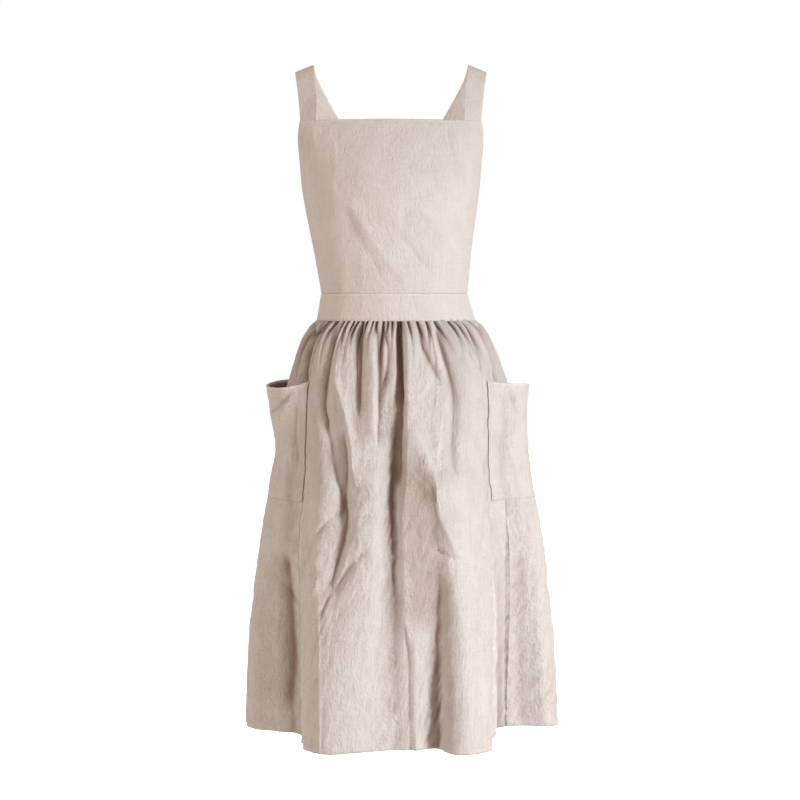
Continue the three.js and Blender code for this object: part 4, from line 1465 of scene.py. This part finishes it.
# %% The straps' route
STRAP_WIDTH = 0.032
STRAP_WALL = 0.002
STRAP_SPREAD = 0.277
SEAM_GAP = 0.0003
BIB_WALL = 0.0012
STRAP_TAIL = 0.028
STRAP_END_TAIL = 0.03
STRAP_BACK_DEPTH = 0.108
STRAP_CROSS_LIFT = 0.0036
STRAP_EASE = 0.0009
STRAP_INSET = 0.8
STRAP_ROUTE = [
    (0.95, -0.2, 0.14, 0.4, -0.8, 0.45),
    (0.985, -0.01, 0.04, 0.38, -0.55, 0.75),
    (1, 0.17, 0, 0.36, 0, 0.93),
    (0.96, 0.41, 0.055, 0.4, 0.6, 0.7),
    (0.77, 0.69, 0.19, 0.4, 0.85, 0.3),
    (0.43, 0.93, 0.4, 0.2, 0.95, 0.15),
    (0, 1, 0.66, 0, 1, 0),
    (-0.29, 0.8, 0.84, -0.25, 0.95, -0.1),
]
STRAP_LANDING = [(0.49, -0.5), (0.54, 0), (0.64, 1)]
TINY_STEP = 0.001
print(len(STRAP_ROUTE), "free points on each strap's route")

# %% Where the straps are sewn on
def bib_frame(across, down, deeper):
    """A point that far behind the bib's face, and the direction in which the bib looks there."""
    step = TINY_STEP
    point = bib_surface(across, down)
    along = bib_surface(across + step, down) - bib_surface(across - step, down)
    low = bib_surface(across, down + step) - bib_surface(across, max(down - step, 0))
    outward = np.cross(along, low)
    outward = -outward / np.linalg.norm(outward)
    return point - outward * deeper, outward


def band_frame(turn, z, deeper):
    """A point that far inside the waistband, and the direction in which the band looks there."""
    def surface(at_turn, at_z):
        return oval(*band_size(at_z), at_turn, at_z)

    along = surface(turn + TINY_STEP, z) - surface(turn - TINY_STEP, z)
    low = surface(turn, z - TINY_STEP) - surface(turn, z)
    outward = np.cross(along, low)
    outward = -outward / np.linalg.norm(outward)
    return surface(turn, z) - outward * deeper, outward


def strap_frames(side):
    """Points and facing directions along one strap, from the bib's inside to the waistband's."""
    inside = SEAM_GAP + STRAP_WALL / 2 + STRAP_EASE
    share = side * (1 - STRAP_WIDTH / 2 / (bib_top_turn * bib_top_half * STRAP_INSET))
    deeper = BIB_WALL + inside + STRAP_WIDTH ** 2 / (4 * CHEST_WIDTH)
    tail = STRAP_TAIL / BIB_HEIGHT
    frames = [bib_frame(share, down, deeper) for down in (tail, tail / 2, 0)]
    for across, deep, down, face_x, face_y, face_z in STRAP_ROUTE:
        crossing = STRAP_WALL + STRAP_CROSS_LIFT if across == 0 and side > 0 else 0
        point = (side * across * STRAP_SPREAD / 2, deep * STRAP_BACK_DEPTH + crossing, down * band_top)
        frames.append((np.array(point), np.array((side * face_x, face_y, face_z))))
    deeper = BAND_WALL + inside + STRAP_WIDTH ** 2 / (8 * BAND_BACK)
    for across, low in STRAP_LANDING:
        z = band_top - low * STRAP_END_TAIL
        behind = math.asin(across * STRAP_SPREAD / 2 / band_size(z)[0])
        frames.append(band_frame(-side * (math.pi - behind), z, deeper))
    points = np.array([point for point, face in frames])
    faces = np.array([face / np.linalg.norm(face) for point, face in frames])
    return points, faces


def curve_through(points, t):
    """A curve through points with even speed between them; t from 0 to 1 counts the points."""
    ends = np.concatenate([[2 * points[0] - points[1]], points, [2 * points[-1] - points[-2]]])
    i = np.clip((t * (len(points) - 1)).astype(int), 0, len(points) - 2)
    share = (t * (len(points) - 1) - i)[:, None]
    p0, p1, p2, p3 = ends[i], ends[i + 1], ends[i + 2], ends[i + 3]
    pairs = ((p0, p1), (p1, p2), (p2, p3))
    d0, d1, d2 = (np.sqrt(np.linalg.norm(b - a, axis=1))[:, None] for a, b in pairs)
    start = ((p1 - p0) / d0 - (p2 - p0) / (d0 + d1) + (p2 - p1) / d1) * d1
    end = ((p2 - p1) / d1 - (p3 - p1) / (d1 + d2) + (p3 - p2) / d2) * d1
    rise = p2 - p1
    return p1 + share * (start + share * ((3 * rise - 2 * start - end) + share * (start + end - 2 * rise)))

# %% The straps
STRAP_COLUMNS = 14
STRAP_ROWS = 420
STRAP_ROUNDING = 0.0006
STRAP_GROOVE = 0.0002
STRAP_CRUMPLE = 0.0003
THINNEST_STRAP = 0.0008


def ribbon_directions(middle, face):
    """Across and out of a ribbon that runs along middle and looks towards face."""
    tangent = np.gradient(middle, axis=0)
    tangent /= np.linalg.norm(tangent, axis=1, keepdims=True)
    across = np.cross(tangent, face)
    across /= np.linalg.norm(across, axis=1, keepdims=True)
    return across, np.cross(across, tangent)


def make_strap(node, side, seed):
    points, faces = strap_frames(side)
    t = np.linspace(0, 1, STRAP_ROWS + 1)
    middle, face = curve_through(points, t), curve_through(faces, t)
    across, outward = ribbon_directions(middle, face)
    edges = np.sin(np.linspace(-math.pi / 2, math.pi / 2, STRAP_COLUMNS + 1))
    length = np.concatenate([[0], np.cumsum(np.linalg.norm(np.diff(middle, axis=0), axis=1))])
    edge, run = np.meshgrid(edges, length)
    from_edge = (1 - np.abs(edge)) * STRAP_WIDTH / 2
    rounded = STRAP_ROUNDING * np.exp(-from_edge / 0.001)
    groove = STRAP_GROOVE * np.exp(-((from_edge - 0.003) / 0.0008) ** 2)
    soft = STRAP_CRUMPLE * crumple(edge * STRAP_WIDTH / 2, run, 0.03, seed)
    lift = STRAP_WALL / 2 - rounded - groove + soft
    surface = (middle[:, None] + across[:, None] * edge[..., None] * STRAP_WIDTH / 2
               + outward[:, None] * lift[..., None])
    if np.sum(grid_normals(surface) * outward[:, None]) < 0:
        surface, lift = surface[:, ::-1], lift[:, ::-1]
    wall = np.maximum(lift + STRAP_WALL / 2 - rounded, THINNEST_STRAP)
    # Painted highlight along both edges of the strap.
    highlight = 0.6 * np.exp(-((from_edge / 0.0016) ** 2))
    return make_sheet(node, surface, wall, linen["strap"], shift=seed * 0.1, painted_highlight=highlight)


straps = {
    "strap_left": make_strap("strap_left", -1, 141),
    "strap_right": make_strap("strap_right", 1, 151),
}

# %% [markdown]
# ## Sewing
# Every seam that shows has one row of stitches: round the pockets and along their mouths, along
# the hem, down the bib's turned edges, along both edges of each strap and along the waistband.
# Each row follows a line of the sheet's own grid, so it lies on the folds.

# %% Lines over a sheet
SEAM_IN = 0.0022
LINE_SAMPLES = 1200
LONG_LINE_SAMPLES = 2000
HEM_SAMPLES = 3000


def line_on(points, rows, columns, count):
    """A line over a sheet's grid, between fractional rows and columns, with its normals."""
    r = np.interp(np.linspace(0, 1, count), np.linspace(0, 1, len(rows)), rows)
    c = np.interp(np.linspace(0, 1, count), np.linspace(0, 1, len(columns)), columns)
    r0 = np.clip(np.floor(r).astype(int), 0, points.shape[0] - 2)
    c0 = np.clip(np.floor(c).astype(int), 0, points.shape[1] - 2)
    fr, fc = (r - r0)[:, None], (c - c0)[:, None]

    def read(grid):
        top = grid[r0, c0] * (1 - fc) + grid[r0, c0 + 1] * fc
        bottom = grid[r0 + 1, c0] * (1 - fc) + grid[r0 + 1, c0 + 1] * fc
        return top * (1 - fr) + bottom * fr

    return read(points), read(grid_normals(points))


def level_line(points, below, length):
    """A row of the sheet that far below its top edge."""
    row = below / length * (points.shape[0] - 1)
    return line_on(points, [row, row], [0.5, points.shape[1] - 1.5], LINE_SAMPLES)


def upright_line(points, inside, width):
    """A column of the sheet that far inside its left edge, or its right edge if below zero."""
    column = inside / width * (points.shape[1] - 1)
    column = column if inside > 0 else column + points.shape[1] - 1
    return line_on(points, [0.5, points.shape[0] - 1.5], [column, column], LINE_SAMPLES)


print("stitches every", STITCH_STEP * 1000, "mm")

# %% [markdown]
# Each pocket and skirt panel gets its rows of stitches here, one piece of stitches for each sheet.
# Each sheet is declared with the flat size that it was cut to and what it hangs from, so that a
# cloth solver could take it over. Both are estimates, and the bib's is narrower than its finished
# sheet's middle row, so a solver should measure that sheet first.


def sew(node, rows):
    """One piece of stitches for a sheet."""
    threads = make_stitches(node + "_stitches", rows)


for node, made in pockets.items():
    points, width, length = made["points"], made["width"], made["length"]
    rows = [level_line(points, POCKET_HEM, length), level_line(points, length - SEAM_IN, length),
            upright_line(points, SEAM_IN, width), upright_line(points, -SEAM_IN, width)]
    sew(node, rows)

hem_row = (1 - HEM_TURN_UP / SKIRT_LENGTH) ** (1 / ROW_CROWDING) * SKIRT_ROWS + 1
for node, made in skirt.items():
    last = made["points"].shape[1] - 2
    rows = [line_on(made["points"], [hem_row, hem_row], [1, last], HEM_SAMPLES)]
    sew(node, rows)

# %% Sewing the bib, the waistband and the straps
BIB_NOMINAL_WIDTH = 2 * BIB_NOMINAL_HALF
STRAP_SEAM_COLUMN = 2.2

points = bib["points"]
rows = [level_line(points, BIB_HEM, BIB_HEIGHT), upright_line(points, BIB_HEM, BIB_NOMINAL_WIDTH),
        upright_line(points, -BIB_HEM, BIB_NOMINAL_WIDTH)]
sew("bib", rows)

points = band["points"]
rows = [level_line(points, SEAM_IN, BAND_HEIGHT), level_line(points, BAND_HEIGHT - SEAM_IN, BAND_HEIGHT)]
sew("waistband", rows)

for node, made in straps.items():
    far_column = made["points"].shape[1] - 1 - STRAP_SEAM_COLUMN
    rows = [line_on(made["points"], [1, STRAP_ROWS - 1], [column, column], LONG_LINE_SAMPLES)
            for column in (STRAP_SEAM_COLUMN, far_column)]
    sew(node, rows)
